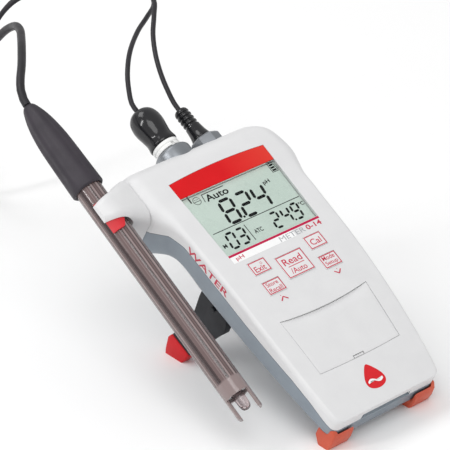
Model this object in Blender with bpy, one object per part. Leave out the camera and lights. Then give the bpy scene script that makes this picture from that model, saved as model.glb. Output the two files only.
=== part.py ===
"""Portable pH meter leaning on its stand, with a combination electrode held in a side clip.

The meter is drawn in its own frame, in millimetres: X across the face, Y along the face towards the
connectors, Z out of the face. The origin is the middle of the display's upper edge. An empty tilts and
lifts this frame so that the front feet and the stand rest on Z = 0 of the world, in metres.
"""

import math

import bmesh
import bpy
from mathutils import Matrix, Vector

MM = 0.001
GAP = 0.3

# Driving dimensions of the meter.
TILT = math.radians(27.6)
ORIGIN_LIFT = 82.3
CENTRE_X = 11.7
CENTRE_Y = 19.4
BOTTOM_END = -126.5
HEAD_END = 24.5
WALL = 2.2
FACE_BREAK = -45.0
FACE_DROP = 4.3
FACE_DROP_SPAN = 58.0
HEAD_ROUND_START = 14.0
HEAD_ROUND_DROP = 9.0
HUB_PLANE = -43.5
MOULD_SPLIT = [(-135, -16.5), (-124, -13.5), (-110, -10.2), (-98, -8.8), (-61, -7.7), (-35, -6.6),
               (-20, -5.9), (-10.6, -8.1), (-4.2, -12.5), (1, -16), (8, -17.5), (35, -17.5)]
HALF_WIDTH = [(-126.5, 28.5), (-125.8, 30.2), (-124.3, 31.6), (-120, 32.7), (-103, 34.8), (-76, 36.8),
              (-45, 37.9), (-20, 38.5), (-11, 39.5), (-5, 42.4), (-1, 44.0), (4, 44.6), (11, 43.4),
              (18, 40.6), (24.5, 34.5)]
HALF_WIDTH_HUB = [(-126.5, 28.5), (-125.8, 30.2), (-124.3, 31.6), (-120, 32.7), (-103, 34.8), (-76, 36.8),
                  (-45, 37.9), (-20, 38.9), (-11, 40.2), (-5, 42.6), (-1, 44.2), (4, 45.0), (18, 45.0),
                  (24.5, 43.5)]
BACK = [(-126.5, -21.5), (-115, -21.0), (-98, -20.8), (-38, -20.8), (-26, -19.9), (-19, -20.2), (-14, -22.4),
        (-8.5, -27.0), (-3, -32.2), (2, -34.5), (7, -34.8), (16, -34.8), (21, -33.0), (24.5, -29.5)]
TOP_EDGE = [(-126.5, 2.0), (-120, 2.4), (-20, 2.5), (-10, 4.5), (-2, 8.0), (24.5, 8.0)]
BACK_EDGE = [(-126.5, 5.0), (-20, 6.5), (-6, 8.0), (24.5, 8.5)]

# The display and the door are four-sided openings in the face: (half width, y) of each end.
DISPLAY = ((28.4, 0.0), (27.4, -35.0))
BAND = ((28.6, 8.8), (28.4, 0.0))
BAND_ARCH = 1.4
DOOR = ((26.2, -73.6), (24.3, -103.0))
DOOR_SAG = -1.7
DOOR_BULGE = -0.6
DOOR_THICKNESS = 1.8
KEYS = {
    "key_exit": (-22.1, -12.0, -42.3, -49.6),
    "key_read": (-7.9, 7.7, -45.4, -57.8),
    "key_cal": (12.0, 22.1, -42.0, -49.5),
    "key_mode": (12.0, 22.1, -53.5, -60.9),
    "key_store": (-22.1, -11.9, -53.6, -60.9),
}
KEY_TRAVEL = 0.5

# Connectors on the head's end wall: (x, z) of their axes.
BNC_AXIS = (-7.5, -12.0)
CINCH_AXIS = (12.2, -12.0)

# The clip arm turns about this axis, parallel to X: (y, z).
ARM_AXIS = (11.0, -17.0)
ELECTRODE_X = -60.0
ELECTRODE_Z = -7.9
ELECTRODE_PITCH = math.radians(3.0)
SHAFT_RADIUS = 6.35
SHAFT_BORE = 5.2

# The clip is open between these corners, seen along the electrode: (x, z).
CLIP_MOUTH = [(0.0, 0.0), (-20.0, 5.4), (-20.0, -20.0), (-7.3, -20.0)]

# The stand turns about this axis, parallel to X: (y, z).
STAND_AXIS = (-45.0, -24.5)
STAND_LEG = [(-34.7, -21.1), (-34.9, -27.5), (-36.2, -37.2), (-33.4, -52.0), (-31.9, -62.4), (-45.0, -62.4),
             (-49.6, -47.5), (-52.7, -38.1), (-55.2, -31.6), (-55.0, -27.5), (-53.0, -21.1)]
STAND_FOOT = [(-31.6, -62.7), (-30.4, -66.0), (-32.0, -73.0), (-33.4, -76.5), (-43.6, -71.0), (-44.6, -66.0),
              (-45.0, -62.7)]
STAND_LEG_X = (29.2, 33.2)

# Free cords, in millimetres of the world: the points that each follows, from the object outwards.
CABLE_DIAMETER = 4.0
TAIL_DIAMETER = 2.4
CABLE_STEP = 9.0
CABLE_ROUTE = [(-48.3, 88.8, 113.5), (-47.9, 91.8, 115.3), (-46.2, 95.8, 117.7), (-42.6, 100.6, 120.3),
               (-36.5, 107.4, 122.6), (-29.2, 116.6, 123.8), (-21.6, 126.6, 123.6), (-14.2, 137.2, 121.9),
               (-8.4, 149.0, 117.6), (-6.4, 160.4, 109.6), (-7.6, 169.8, 98.0), (-10.5, 176.6, 82.0),
               (-14.5, 182.5, 62.0), (-19.0, 188.5, 42.0), (-25.0, 196.0, 23.0), (-32.0, 205.5, 9.5),
               (-38.7, 215.4, 3.1)]
BNC_ROUTE = [(4.2, 74.5, 97.6), (4.6, 78.6, 99.8), (7.2, 83.6, 103.3), (12.2, 90.6, 108.2), (22.2, 100.8, 112.0),
             (36.2, 112.0, 113.6), (49.6, 121.0, 113.6), (62.0, 130.5, 113.0), (69.0, 143.5, 112.6),
             (66.0, 158.0, 112.0), (55.0, 170.0, 111.5), (40.0, 180.5, 110.5), (25.0, 189.0, 107.5),
             (13.0, 192.5, 96.0), (5.5, 192.0, 79.0), (2.6, 190.0, 60.0), (2.0, 188.6, 40.0), (2.1, 189.5, 22.0),
             (2.4, 193.4, 9.5), (2.8, 199.4, 3.6), (3.2, 205.6, 2.6)]
CINCH_ROUTE = [(23.9, 67.4, 93.9), (24.2, 71.6, 96.1), (25.5, 77.0, 99.2), (28.5, 85.4, 103.4),
               (33.8, 95.8, 108.2), (41.0, 106.2, 112.8), (49.8, 115.8, 116.6), (57.0, 124.5, 119.0),
               (59.5, 136.0, 120.2), (54.0, 148.0, 120.6), (42.0, 158.5, 120.0), (28.0, 168.5, 118.5),
               (14.0, 177.0, 113.5), (4.5, 182.5, 101.0), (-0.5, 185.5, 82.0), (-2.0, 186.6, 60.0),
               (-2.4, 186.8, 38.0), (-2.3, 188.6, 20.0), (-2.0, 193.2, 8.5), (-1.6, 199.4, 3.4), (-1.4, 205.6, 2.6)]

# The coil that the spare cable is wound into, and the splitter beside it, lie on the ground.
COIL_CENTRE = (-22.0, 240.0)
COIL_RADIUS = 23.0
COIL_BUNDLE = (8.2, 7.6)
SPLITTER_ENDS = (206.0, 221.5)
SPLITTER_X = 1.0


def frame_at(name, parent, location_mm, rotation_x=0.0):
    """An empty under parent, placed in millimetres of the parent's frame."""
    empty = bpy.data.objects.new(name, None)
    bpy.context.scene.collection.objects.link(empty)
    empty.parent = parent
    empty.location = Vector(location_mm) * MM
    empty.rotation_euler = (rotation_x, 0.0, 0.0)
    empty["offset"] = location_mm
    return empty


def material(name, colour, roughness, metallic=0.0, alpha=1.0):
    made = bpy.data.materials.new(name)
    made.use_nodes = True
    shader = made.node_tree.nodes["Principled BSDF"]
    shader.inputs["Base Color"].default_value = (*colour, 1.0)
    shader.inputs["Roughness"].default_value = roughness
    shader.inputs["Metallic"].default_value = metallic
    shader.inputs["Alpha"].default_value = alpha
    return made


def mesh_from(name, points, faces):
    """A mesh in metres from millimetre points, with its faces turned outwards."""
    mesh = bpy.data.meshes.new(name)
    mesh.from_pydata([Vector(p) * MM for p in points], [], faces)
    work = bmesh.new()
    work.from_mesh(mesh)
    bmesh.ops.recalc_face_normals(work, faces=work.faces)
    work.to_mesh(mesh)
    work.free()
    return mesh


def solid(name, points, faces, look=None, parent=None, sharp=35.0):
    """A named object. Its points are in the meter's frame, and parent is its pivot's empty."""
    obj = bpy.data.objects.new(name, mesh_from(name, points, faces))
    bpy.context.scene.collection.objects.link(obj)
    if look is not None:
        obj.data.materials.append(look)
    if parent is not None:
        obj.parent = parent
        if parent.parent is not None and parent.get("pivot"):
            obj.data.transform(Matrix.Translation(-parent.location))
    obj.data.shade_smooth()
    obj.data.set_sharp_from_angle(angle=math.radians(sharp))
    return obj


def combine(obj, cutter, operation="DIFFERENCE"):
    """Applies a Boolean to obj and removes the cutter."""
    cutter.parent = obj.parent
    cutter.hide_render = True
    cutter.display_type = "WIRE"
    step = obj.modifiers.new("cut", "BOOLEAN")
    step.operation = operation
    step.object = cutter
    graph = bpy.context.evaluated_depsgraph_get()
    result = bpy.data.meshes.new_from_object(obj.evaluated_get(graph))
    obj.modifiers.clear()
    obj.data = result
    bpy.data.objects.remove(cutter)
    return obj


def curve_at(table, at):
    """Smooth value of a table of (position, value) points, without overshoot at its ends."""
    if at <= table[0][0]:
        return table[0][1]
    if at >= table[-1][0]:
        return table[-1][1]
    slopes = []
    for index in range(len(table)):
        before = table[max(index - 1, 0)]
        after = table[min(index + 1, len(table) - 1)]
        slopes.append((after[1] - before[1]) / (after[0] - before[0]))
    for index in range(len(table) - 1):
        (start, low), (end, high) = table[index], table[index + 1]
        if at <= end:
            break
    span = end - start
    t = (at - start) / span
    return ((2 * t**3 - 3 * t**2 + 1) * low + (t**3 - 2 * t**2 + t) * span * slopes[index]
            + (3 * t**2 - 2 * t**3) * high + (t**3 - t**2) * span * slopes[index + 1])


def face_height(y):
    """Height of the face's middle line: flat at the display, falling to the bottom end and over the head."""
    if y < FACE_BREAK:
        return -FACE_DROP * ((FACE_BREAK - y) / FACE_DROP_SPAN) ** 1.6
    if y > HEAD_ROUND_START:
        part = min((y - HEAD_ROUND_START) / (HEAD_END - HEAD_ROUND_START), 1.0)
        return -HEAD_ROUND_DROP * (1.0 - math.sqrt(1.0 - part**2))
    return 0.0


def corner(centre, radius, start, end, count):
    """Points of an arc, in degrees."""
    turns = [math.radians(start + (end - start) * i / count) for i in range(count + 1)]
    return [(centre[0] + radius * math.cos(a), centre[1] + radius * math.sin(a)) for a in turns]


def loft(sections):
    """Points and faces of a solid through closed sections of equal length."""
    count = len(sections[0])
    points = [p for section in sections for p in section]
    faces = [tuple(range(count)), tuple(range(len(points) - count, len(points)))]
    for row in range(len(sections) - 1):
        for i in range(count):
            j = (i + 1) % count
            faces.append((row * count + i, row * count + j, (row + 1) * count + j, (row + 1) * count + i))
    return points, faces


def body_section(y, inset, arc):
    """The meter's cross-section at y, inset by a wall, as points (x, y, z)."""
    top = face_height(y) - inset
    back = curve_at(BACK, y) + inset
    top_radius = max(curve_at(TOP_EDGE, y) - inset, 0.8)
    back_radius = max(curve_at(BACK_EDGE, y) - inset, 1.5)
    right = curve_at(HALF_WIDTH, y) - inset
    left = curve_at(HALF_WIDTH_HUB, y) - inset
    if inset > 0.0:
        left = min(left, -HUB_PLANE - WALL)
    outline = corner((right - top_radius, top - top_radius), top_radius, 0, 90, arc)
    outline += corner((top_radius - left, top - top_radius), top_radius, 90, 180, arc)
    outline += corner((back_radius - left, back + back_radius), back_radius, 180, 270, arc)
    outline += corner((right - back_radius, back + back_radius), back_radius, 270, 360, arc)
    return [(x, y, z) for x, z in outline]


def body_loft(stations, inset, arc):
    return loft([body_section(y, inset, arc) for y in stations])


def prism_x(outline, low, high):
    """Extrudes a (y, z) outline from x = low to x = high."""
    return loft([[(x, y, z) for y, z in outline] for x in (low, high)])


def block(low, high):
    outline = [(low[1], low[2]), (high[1], low[2]), (high[1], high[2]), (low[1], high[2])]
    return prism_x(outline, low[0], high[0])


def patch(upper, lower, top, bottom, grow=0.0, arch=0.0, sag=0.0, across=8, along=6):
    """A slab that follows the face, between depths top and bottom.

    upper and lower are (half width, y) of its ends, arch and sag bow those ends along Y at mid-width.
    """
    layers = []
    for depth in (top, bottom):
        for row in range(along + 1):
            v = row / along
            for column in range(across + 1):
                u = 2.0 * column / across - 1.0
                half = upper[0] + (lower[0] - upper[0]) * v + grow
                start = upper[1] + grow + arch * (1.0 - u * u)
                end = lower[1] - grow + sag * (1.0 - u * u)
                y = start + (end - start) * v
                layers.append((u * half, y, face_height(y) + depth))
    return layers, slab_faces(across, along)


def slab_faces(across, along):
    """Faces of two stacked grids of points and the walls between them."""
    width = across + 1
    size = width * (along + 1)
    faces = []
    for row in range(along):
        for column in range(across):
            a = row * width + column
            faces.append((a, a + 1, a + width + 1, a + width))
            faces.append((size + a, size + a + width, size + a + width + 1, size + a + 1))
    for column in range(across):
        for a in (column, along * width + column):
            faces.append((a, a + 1, size + a + 1, size + a))
    for row in range(along):
        for a in (row * width, row * width + across):
            faces.append((a, a + width, size + a + width, size + a))
    return faces


def turned(profile, centre, axis="Y", segments=24, ring=False):
    """Turns a profile of (position, radius) about a line parallel to an axis through centre.

    A plain profile is closed on its axis at both ends, and a ring's profile is a closed loop.
    """
    def place(along, radius, angle):
        a, b = radius * math.cos(angle), radius * math.sin(angle)
        if axis == "X":
            return (centre[0] + along, centre[1] + a, centre[2] + b)
        if axis == "Z":
            return (centre[0] + a, centre[1] + b, centre[2] + along)
        return (centre[0] + a, centre[1] + along, centre[2] + b)

    points = [place(s, r, 2 * math.pi * i / segments) for s, r in profile for i in range(segments)]
    faces = []
    rows = len(profile)
    for row in range(rows if ring else rows - 1):
        following = (row + 1) % rows
        for i in range(segments):
            j = (i + 1) % segments
            faces.append((row * segments + i, row * segments + j, following * segments + j,
                          following * segments + i))
    if not ring:
        faces.append(tuple(range(segments)))
        faces.append(tuple(range((rows - 1) * segments, rows * segments)))
    return points, faces


def cylinder(radius, start, end, centre, axis="Y", segments=24, chamfer=0.0):
    profile = [(start, radius), (end, radius)]
    if chamfer:
        profile = [(start, radius - chamfer), (start + chamfer, radius), (end - chamfer, radius),
                   (end, radius - chamfer)]
    return turned(profile, centre, axis, segments)


def sleeve(outer, inner, start, end, centre, axis="Y", segments=24, chamfer=0.4):
    profile = [(start, inner), (start, outer - chamfer), (start + chamfer, outer), (end - chamfer, outer),
               (end, outer - chamfer), (end, inner)]
    return turned(profile, centre, axis, segments, ring=True)


def clear_scene():
    for obj in list(bpy.data.objects):
        bpy.data.objects.remove(obj)


def make_materials():
    return {
        "white": material("white_shell", (0.80, 0.81, 0.82), 0.38),
        "grey": material("grey_shell", (0.25, 0.29, 0.33), 0.42),
        "red": material("red_band", (0.70, 0.02, 0.02), 0.35),
        "window": material("clear_window", (0.85, 0.90, 0.88), 0.08, alpha=0.4),
        "lcd": material("lcd_glass", (0.46, 0.56, 0.50), 0.2),
        "board": material("board_green", (0.03, 0.20, 0.10), 0.5),
        "rubber_dark": material("dark_rubber", (0.03, 0.03, 0.035), 0.6),
        "rubber_grey": material("grey_rubber", (0.30, 0.30, 0.31), 0.7),
        "foot": material("orange_foot", (0.75, 0.15, 0.06), 0.35),
        "stand": material("stand_black", (0.03, 0.032, 0.036), 0.45),
        "stand_red": material("stand_foot_red", (0.72, 0.02, 0.02), 0.4),
        "steel": material("steel", (0.60, 0.60, 0.61), 0.3, metallic=1.0),
        "nickel": material("nickel", (0.42, 0.45, 0.48), 0.28, metallic=1.0),
        "brass": material("brass", (0.75, 0.55, 0.22), 0.3, metallic=1.0),
        "cell": material("cell_jacket", (0.08, 0.09, 0.10), 0.35),
        "boot": material("boot_black", (0.012, 0.012, 0.014), 0.15),
        "ring": material("ring_white", (0.85, 0.85, 0.84), 0.35),
        "cap": material("cap_rubber", (0.055, 0.045, 0.058), 0.55),
        "shaft": material("shaft_tint", (0.18, 0.12, 0.12), 0.15, alpha=0.6),
        "inner": material("inner_glass", (0.10, 0.06, 0.06), 0.2, alpha=0.8),
        "bulb": material("bulb_glass", (0.45, 0.38, 0.42), 0.05, alpha=0.5),
        "cable": material("cable_black", (0.02, 0.02, 0.022), 0.5),
        "grip": material("grip_red", (0.65, 0.02, 0.03), 0.45),
    }


OUTER_STATIONS = [-126.5, -126.0, -125.0, -123.0, -119.0, -112.0, -103.0, -94.0, -84.0, -72.0, -60.0, -45.0,
                  -32.0, -24.0, -19.0, -15.0, -11.5, -8.0, -5.0, -2.5, 0.0, 3.0, 7.0, 11.0, 14.0, 16.5, 19.0,
                  21.0, 22.6, 23.7, 24.3, 24.5]
INNER_STATIONS = [-124.0, -121.0, -112.0, -98.0, -84.0, -60.0, -30.0, -20.0, -14.0, -8.0, -3.0, 2.0, 10.0,
                  16.0, 20.0, 22.2]


def half_shell(name, upper, look, meter):
    """One of the two shells: the hollow body on one side of the mould split."""
    shell = solid(name, *body_loft(OUTER_STATIONS, 0.0, 4), look, meter)
    combine(shell, solid("cavity", *body_loft(INNER_STATIONS, WALL, 2)))
    far = 40.0 if upper else -70.0
    shift = GAP / 2 if upper else -GAP / 2
    outline = [(y, z + shift) for y, z in MOULD_SPLIT]
    outline += [(MOULD_SPLIT[-1][0], far), (MOULD_SPLIT[0][0], far)]
    combine(shell, solid("side", *prism_x(outline, -60.0, 60.0)), "INTERSECT")
    combine(shell, solid("hub_cut", *block((-60.0, -8.0, -50.0), (HUB_PLANE, 40.0, 20.0))))
    combine(shell, solid("hub_bore", *cylinder(5.3, -50.0, -38.0, (0.0, *ARM_AXIS), "X")))
    for (x, z), radius in ((BNC_AXIS, 6.3), (CINCH_AXIS, 5.0)):
        combine(shell, solid("socket_bore", *cylinder(radius, 18.0, 30.0, (x, 0.0, z))))
    return shell


def make_front_cover(looks, meter):
    cover = half_shell("front_cover", True, looks["white"], meter)
    combine(cover, solid("display_cut", *patch(*DISPLAY, 3.0, -8.0)))
    combine(cover, solid("band_cut", *patch(*BAND, 3.0, -1.3, grow=0.02, arch=BAND_ARCH)))
    combine(cover, solid("door_cut", *patch(*DOOR, 3.0, -8.0, arch=DOOR_SAG, sag=DOOR_BULGE)))
    for left, right, top, low in KEYS.values():
        points, faces = block((left, low, -8.0), (right, top, 3.0))
        combine(cover, solid("key_cut", points, faces))
    return cover


def make_rear_shell(looks, meter):
    shell = half_shell("rear_shell", False, looks["grey"], meter)
    inner_x, outer_x = STAND_LEG_X
    for side in (-1, 1):
        low_x, high_x = sorted((side * (inner_x - 3.0), side * (outer_x + 2.2)))
        combine(shell, solid("pocket_boss", *block((low_x, -69.2, -19.5), (high_x, -36.5, -11.4))), "UNION")
        low_x, high_x = sorted((side * (inner_x - 0.7), side * (outer_x + 0.7)))
        combine(shell, solid("pocket", *block((low_x, -67.6, -40.0), (high_x, -38.2, -12.8))))
        low_x, high_x = sorted((side * 22.5, side * 27.5))
        lug = [(-50.0, -20.0), (-49.5, -25.5)]
        lug += corner(STAND_AXIS, 3.6, 200, 340, 6)
        lug += [(-40.5, -25.5), (-40.0, -20.0)]
        combine(shell, solid("lug", *prism_x(lug, low_x, high_x)), "UNION")
        combine(shell, solid("lug_bore", *cylinder(1.6, low_x - 1, high_x + 1, (0.0, *STAND_AXIS), "X", 16)))
    for x, y in SCREW_PLACES:
        depth = curve_at(BACK, y)
        combine(shell, solid("screw_hole", *cylinder(1.7, -3.0, 4.5, (x, y, depth), "Z", 16)))
    return shell


SCREW_PLACES = [(-28.0, 6.0), (28.0, 6.0), (-24.0, -112.0), (24.0, -112.0)]


def make_screws(looks, meter):
    for number, (x, y) in enumerate(SCREW_PLACES, 1):
        profile = [(-1.7, 1.6), (-1.5, 2.5), (-0.4, 2.8), (-0.4, 1.4), (8.0, 1.4), (9.0, 0.7)]
        solid(f"case_screw_{number}", *turned(profile, (x, y, curve_at(BACK, y)), "Z", 14), looks["steel"], meter)


def make_display(looks, meter):
    solid("red_band", *patch(*BAND, 0.0, -1.0, grow=-GAP, arch=BAND_ARCH), looks["red"], meter)
    solid("display_window", *patch(*DISPLAY, -0.05, -1.25, grow=-GAP, across=2, along=2), looks["window"], meter)
    solid("lcd_module", *patch(*DISPLAY, -1.6, -4.4, grow=-0.9, across=2, along=2), looks["lcd"], meter)
    solid("zebra_strip", *block((-24.0, -33.5, -6.2), (24.0, -31.0, -4.7)), looks["rubber_grey"], meter)
    solid("main_board", *block((-32.0, -67.0, -8.1), (32.0, -2.0, -6.5)), looks["board"], meter)
    solid("keypad_membrane", *block((-24.5, -65.0, -6.2), (24.5, -39.5, -5.0)), looks["rubber_grey"], meter)
    solid("buzzer", *cylinder(4.8, -12.0, -8.4, (-12.0, -28.0, 0.0), "Z", 20, 0.4), looks["rubber_dark"], meter)


def make_keys(looks, meter):
    """Raised key caps with a flange under the face and a short stem, each free to slide into the face."""
    for name, (left, right, top, low) in KEYS.items():
        mid_y = (top + low) / 2
        height = face_height(mid_y)
        pivot = pivot_at(f"{name}_slide", meter, ((left + right) / 2, mid_y, height))
        rows = [(GAP + 0.35, 0.55), (GAP, 0.3), (GAP, -2.95), (-0.8, -2.95), (-0.8, -3.5), (GAP + 1.2, -3.5),
                (GAP + 1.2, -3.9)]
        sections = []
        for inset, z in rows:
            sections.append([(x, y, height + z) for x, y in (
                (left + inset, low + inset), (right - inset, low + inset),
                (right - inset, top - inset), (left + inset, top - inset))])
        solid(name, *loft(sections), looks["white"], pivot)


def pivot_at(name, parent, location):
    empty = frame_at(name, parent, location)
    empty["pivot"] = True
    return empty


def make_battery_bay(looks, meter):
    hinge_y = DOOR[0][1] - GAP
    pivot = pivot_at("door_hinge", meter, (0.0, hinge_y, face_height(hinge_y)))
    door = solid("battery_door", *patch(*DOOR, 0.0, -DOOR_THICKNESS, grow=-GAP, arch=DOOR_SAG, sag=DOOR_BULGE),
                 looks["white"], pivot)
    notch = block((-4.0, -104.5, -20.0), (2.4, -101.9, 5.0))
    cutter = solid("notch", *notch, parent=pivot)
    combine(door, cutter)
    latch_y = DOOR[1][1]
    latch = [(-101.9 - GAP, face_height(latch_y) - 0.2), (-101.9 - GAP, face_height(latch_y) - 1.7),
             (latch_y - GAP, face_height(latch_y) - 1.7), (latch_y - GAP, face_height(latch_y) - 0.2)]
    solid("door_latch", *prism_x(latch, -3.6, 2.0), looks["white"], pivot)
    tray = solid("battery_tray", *block((-25.5, -107.0, -18.1), (25.5, -73.0, -10.5)), looks["rubber_dark"], meter)
    combine(tray, solid("tray_bay", *block((-24.3, -105.9, -17.6), (24.3, -74.0, -5.0))))
    for number in range(3):
        y = -79.6 - 10.35 * number
        profile = [(-22.2, 4.2), (-21.9, 5.05), (21.2, 5.05), (21.5, 4.2), (21.5, 1.9), (22.3, 1.9)]
        solid(f"battery_{number + 1}", *turned(profile, (0.0, y, -12.2), "X", 20), looks["cell"], meter)
    for side, name in ((-1, "contact_left"), (1, "contact_right")):
        low_x, high_x = sorted((side * 22.8, side * 23.4))
        solid(name, *block((low_x, -105.0, -17.0), (high_x, -75.0, -9.0)), looks["brass"], meter)


def make_front_feet(looks, meter):
    """Soft corner feet: blocks that wrap the bottom corners, cut back by the body and by the ground."""
    for side, name in ((-1, "front_foot_left"), (1, "front_foot_right")):
        outline = [(-117.5, -18.0), (-118.0, -25.8), (-122.0, -29.5), (-127.0, -30.5), (-129.6, -26.5),
                   (-130.0, -21.5), (-128.8, -16.6), (-126.0, -15.6)]
        low_x, high_x = sorted((side * 18.8, side * 33.4))
        foot = solid(name, *prism_x(outline, low_x, high_x), looks["foot"], meter, sharp=50)
        body = solid("body", *body_loft([y + (-1.0 if y < -126.4 else 0.0) for y in OUTER_STATIONS], -GAP, 4))
        combine(foot, body)
        combine(foot, ground_block())


def ground_block():
    """Everything under the ground plane, as a prism in the meter's frame."""
    def ground(y):
        return (-ORIGIN_LIFT - y * math.sin(TILT)) / math.cos(TILT)
    outline = [(-160.0, ground(-160.0)), (60.0, ground(60.0)), (60.0, -200.0), (-160.0, -200.0)]
    return solid("ground", *prism_x(outline, -60.0, 60.0))


def make_stand(looks, meter):
    pivot = pivot_at("stand_hinge", meter, (0.0, *STAND_AXIS))
    inner_x, outer_x = STAND_LEG_X
    stand = solid("kickstand", *prism_x(STAND_LEG, -outer_x, -inner_x), looks["stand"], pivot)
    combine(stand, solid("leg", *prism_x(STAND_LEG, inner_x, outer_x), parent=pivot), "UNION")
    bar = [(-41.5, -30.5), (-36.0, -30.5), (-36.6, -36.5), (-41.5, -36.5)]
    combine(stand, solid("bar", *prism_x(bar, -inner_x - 1.0, inner_x + 1.0), parent=pivot), "UNION")
    combine(stand, solid("pin_bore", *cylinder(1.6, -40.0, 40.0, (0.0, *STAND_AXIS), "X", 16), parent=pivot))
    for side, name in ((-1, "stand_foot_left"), (1, "stand_foot_right")):
        low_x, high_x = sorted((side * (inner_x - 0.6), side * (outer_x + 0.6)))
        foot = solid(name, *prism_x(STAND_FOOT, low_x, high_x), looks["stand_red"], pivot, sharp=20)
        ground = ground_block()
        ground.data.transform(Matrix.Translation(-pivot.location))
        combine(foot, ground)
    solid("stand_pin", *cylinder(1.3, -34.6, 34.6, (0.0, *STAND_AXIS), "X", 16, 0.3), looks["steel"], meter)


def make_connectors(looks, meter):
    """The two sockets with their collars, and the plugs that sit in them."""
    x, z = BNC_AXIS
    at = (x, 0.0, z)
    socket = solid("bnc_socket", *cylinder(5.9, 8.0, 29.4, at, chamfer=0.4), looks["nickel"], meter)
    combine(socket, solid("bore", *cylinder(5.1, 20.0, 40.0, at)))
    solid("bnc_collar", *sleeve(9.3, 6.3, HEAD_END + GAP, 29.2, at, segments=32, chamfer=1.0), looks["nickel"], meter)
    solid("bnc_plug_core", *cylinder(4.8, 20.4, 45.0, at, chamfer=0.5), looks["brass"], meter)
    pivot = pivot_at("bnc_ring_axis", meter, at)
    ring = solid("bnc_lock_ring", *sleeve(6.7, 5.2, 29.8, 33.6, at, segments=28), looks["ring"], pivot)
    for side in (-1, 1):
        slot = block((x - 0.9, 29.0, z + side * 6.6 - 1.0), (x + 0.9, 31.5, z + side * 6.6 + 1.0))
        combine(ring, solid("slot", *slot, parent=pivot))
    profile = [(33.9, 5.2), (33.9, 7.2), (35.0, 7.1), (38.0, 6.7), (41.5, 7.1), (45.5, 7.7), (49.0, 7.6), (52.0, 6.6),
               (54.2, 4.6), (55.2, 2.4)]
    boot = solid("bnc_boot", *turned(profile, at, segments=28), looks["boot"], meter)
    combine(boot, solid("bore", *cylinder(5.2, 30.0, 45.5, at)))

    x, z = CINCH_AXIS
    at = (x, 0.0, z)
    socket = solid("cinch_socket", *cylinder(4.7, 8.0, 28.9, at, chamfer=0.4), looks["nickel"], meter)
    combine(socket, solid("bore", *cylinder(3.9, 18.0, 40.0, at)))
    collar = turned([(HEAD_END + GAP, 5.6), (HEAD_END + GAP, 8.1), (27.4, 8.1), (28.7, 7.0), (28.7, 5.6)], at,
                    segments=8, ring=True)
    solid("cinch_collar", *collar, looks["nickel"], meter, sharp=20)
    core = [(18.4, 3.0), (18.9, 3.5), (28.9, 3.5), (28.9, 2.6), (37.6, 2.6), (38.0, 2.2)]
    solid("cinch_plug_core", *turned(core, at, segments=20), looks["brass"], meter)
    profile = [(29.3, 4.9), (30.2, 4.9), (33.0, 4.2), (36.5, 3.7)]
    for rib in range(4):
        start = 37.3 + 2.2 * rib
        profile += [(start, 3.7), (start + 0.35, 3.1), (start + 0.95, 3.1), (start + 1.3, 3.6)]
    profile += [(46.2, 3.5), (47.2, 3.0), (47.6, 1.8)]
    boot = solid("cinch_boot", *turned(profile, at, segments=20), looks["cable"], meter)
    combine(boot, solid("bore", *cylinder(2.9, 28.0, 38.4, at, segments=20)))


def make_arm(looks, meter):
    """The clip arm with its pivot. It turns with the electrode about the hub's axis."""
    pivot = pivot_at("arm_axis", meter, (0.0, *ARM_AXIS))
    rows = [(-43.8, -1.2, 23.0, -29.5, -4.2, 6.0), (-47.0, 0.4, 21.6, -27.0, -3.0, 6.0),
            (-52.0, 2.8, 19.4, -22.5, -0.8, 5.5), (-56.0, 4.6, 17.8, -19.2, 0.9, 5.0),
            (-60.0, 6.0, 16.8, -17.9, 1.7, 4.5), (-63.5, 7.0, 16.0, -17.0, 1.0, 4.0),
            (-66.6, 8.0, 15.2, -15.2, -0.9, 3.0)]
    sections = []
    for x, y0, y1, z0, z1, r in rows:
        outline = corner((y1 - r, z1 - r), r, 0, 90, 4) + corner((y0 + r, z1 - r), r, 90, 180, 4)
        outline += corner((y0 + r, z0 + r), r, 180, 270, 4) + corner((y1 - r, z0 + r), r, 270, 360, 4)
        sections.append([(x, y, z) for y, z in outline])
    arm = solid("clip_arm", *loft(sections), looks["white"], pivot)
    bore = solid("bore", *cylinder(7.85, -40.0, 40.0, (0.0, 0.0, 0.0), segments=32))
    bore.data.transform(electrode_matrix(pivot))
    combine(arm, bore)
    mouth = solid("mouth", *prism_y(CLIP_MOUTH, -15.0, 15.0))
    mouth.data.transform(electrode_matrix(pivot))
    mouth.parent = pivot
    combine(arm, mouth)
    combine(arm, solid("pivot_bore", *cylinder(5.3, -50.5, -40.0, (0.0, *ARM_AXIS), "X"), parent=pivot))
    pin = [(-50.2, 4.5), (-49.7, 5.0), (-33.0, 5.0), (-33.0, 3.4), (-32.0, 3.4), (-32.0, 5.0), (-30.4, 5.0),
           (-30.0, 4.5)]
    solid("arm_pivot", *turned(pin, (0.0, *ARM_AXIS), "X"), looks["steel"], pivot)
    washer = sleeve(8.5, 5.3, -40.9, -39.7, (0.0, *ARM_AXIS), "X", 24, 0.2)
    solid("friction_washer", *washer, looks["rubber_dark"], meter)
    spring = sleeve(7.6, 5.3, -39.3, -33.4, (0.0, *ARM_AXIS), "X", 20, 0.2)
    solid("pivot_spring", *spring, looks["steel"], meter)
    clip = sleeve(4.8, 3.7, -32.8, -32.2, (0.0, *ARM_AXIS), "X", 16, 0.1)
    solid("pivot_clip", *clip, looks["steel"], pivot)
    return pivot


def electrode_matrix(pivot):
    """Places electrode coordinates (axis along Y, origin at the clip) in the pivot's frame."""
    place = Vector((ELECTRODE_X, ARM_AXIS[0], ELECTRODE_Z)) * MM - pivot.location
    return Matrix.Translation(place) @ Matrix.Rotation(ELECTRODE_PITCH, 4, "X")


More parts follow.
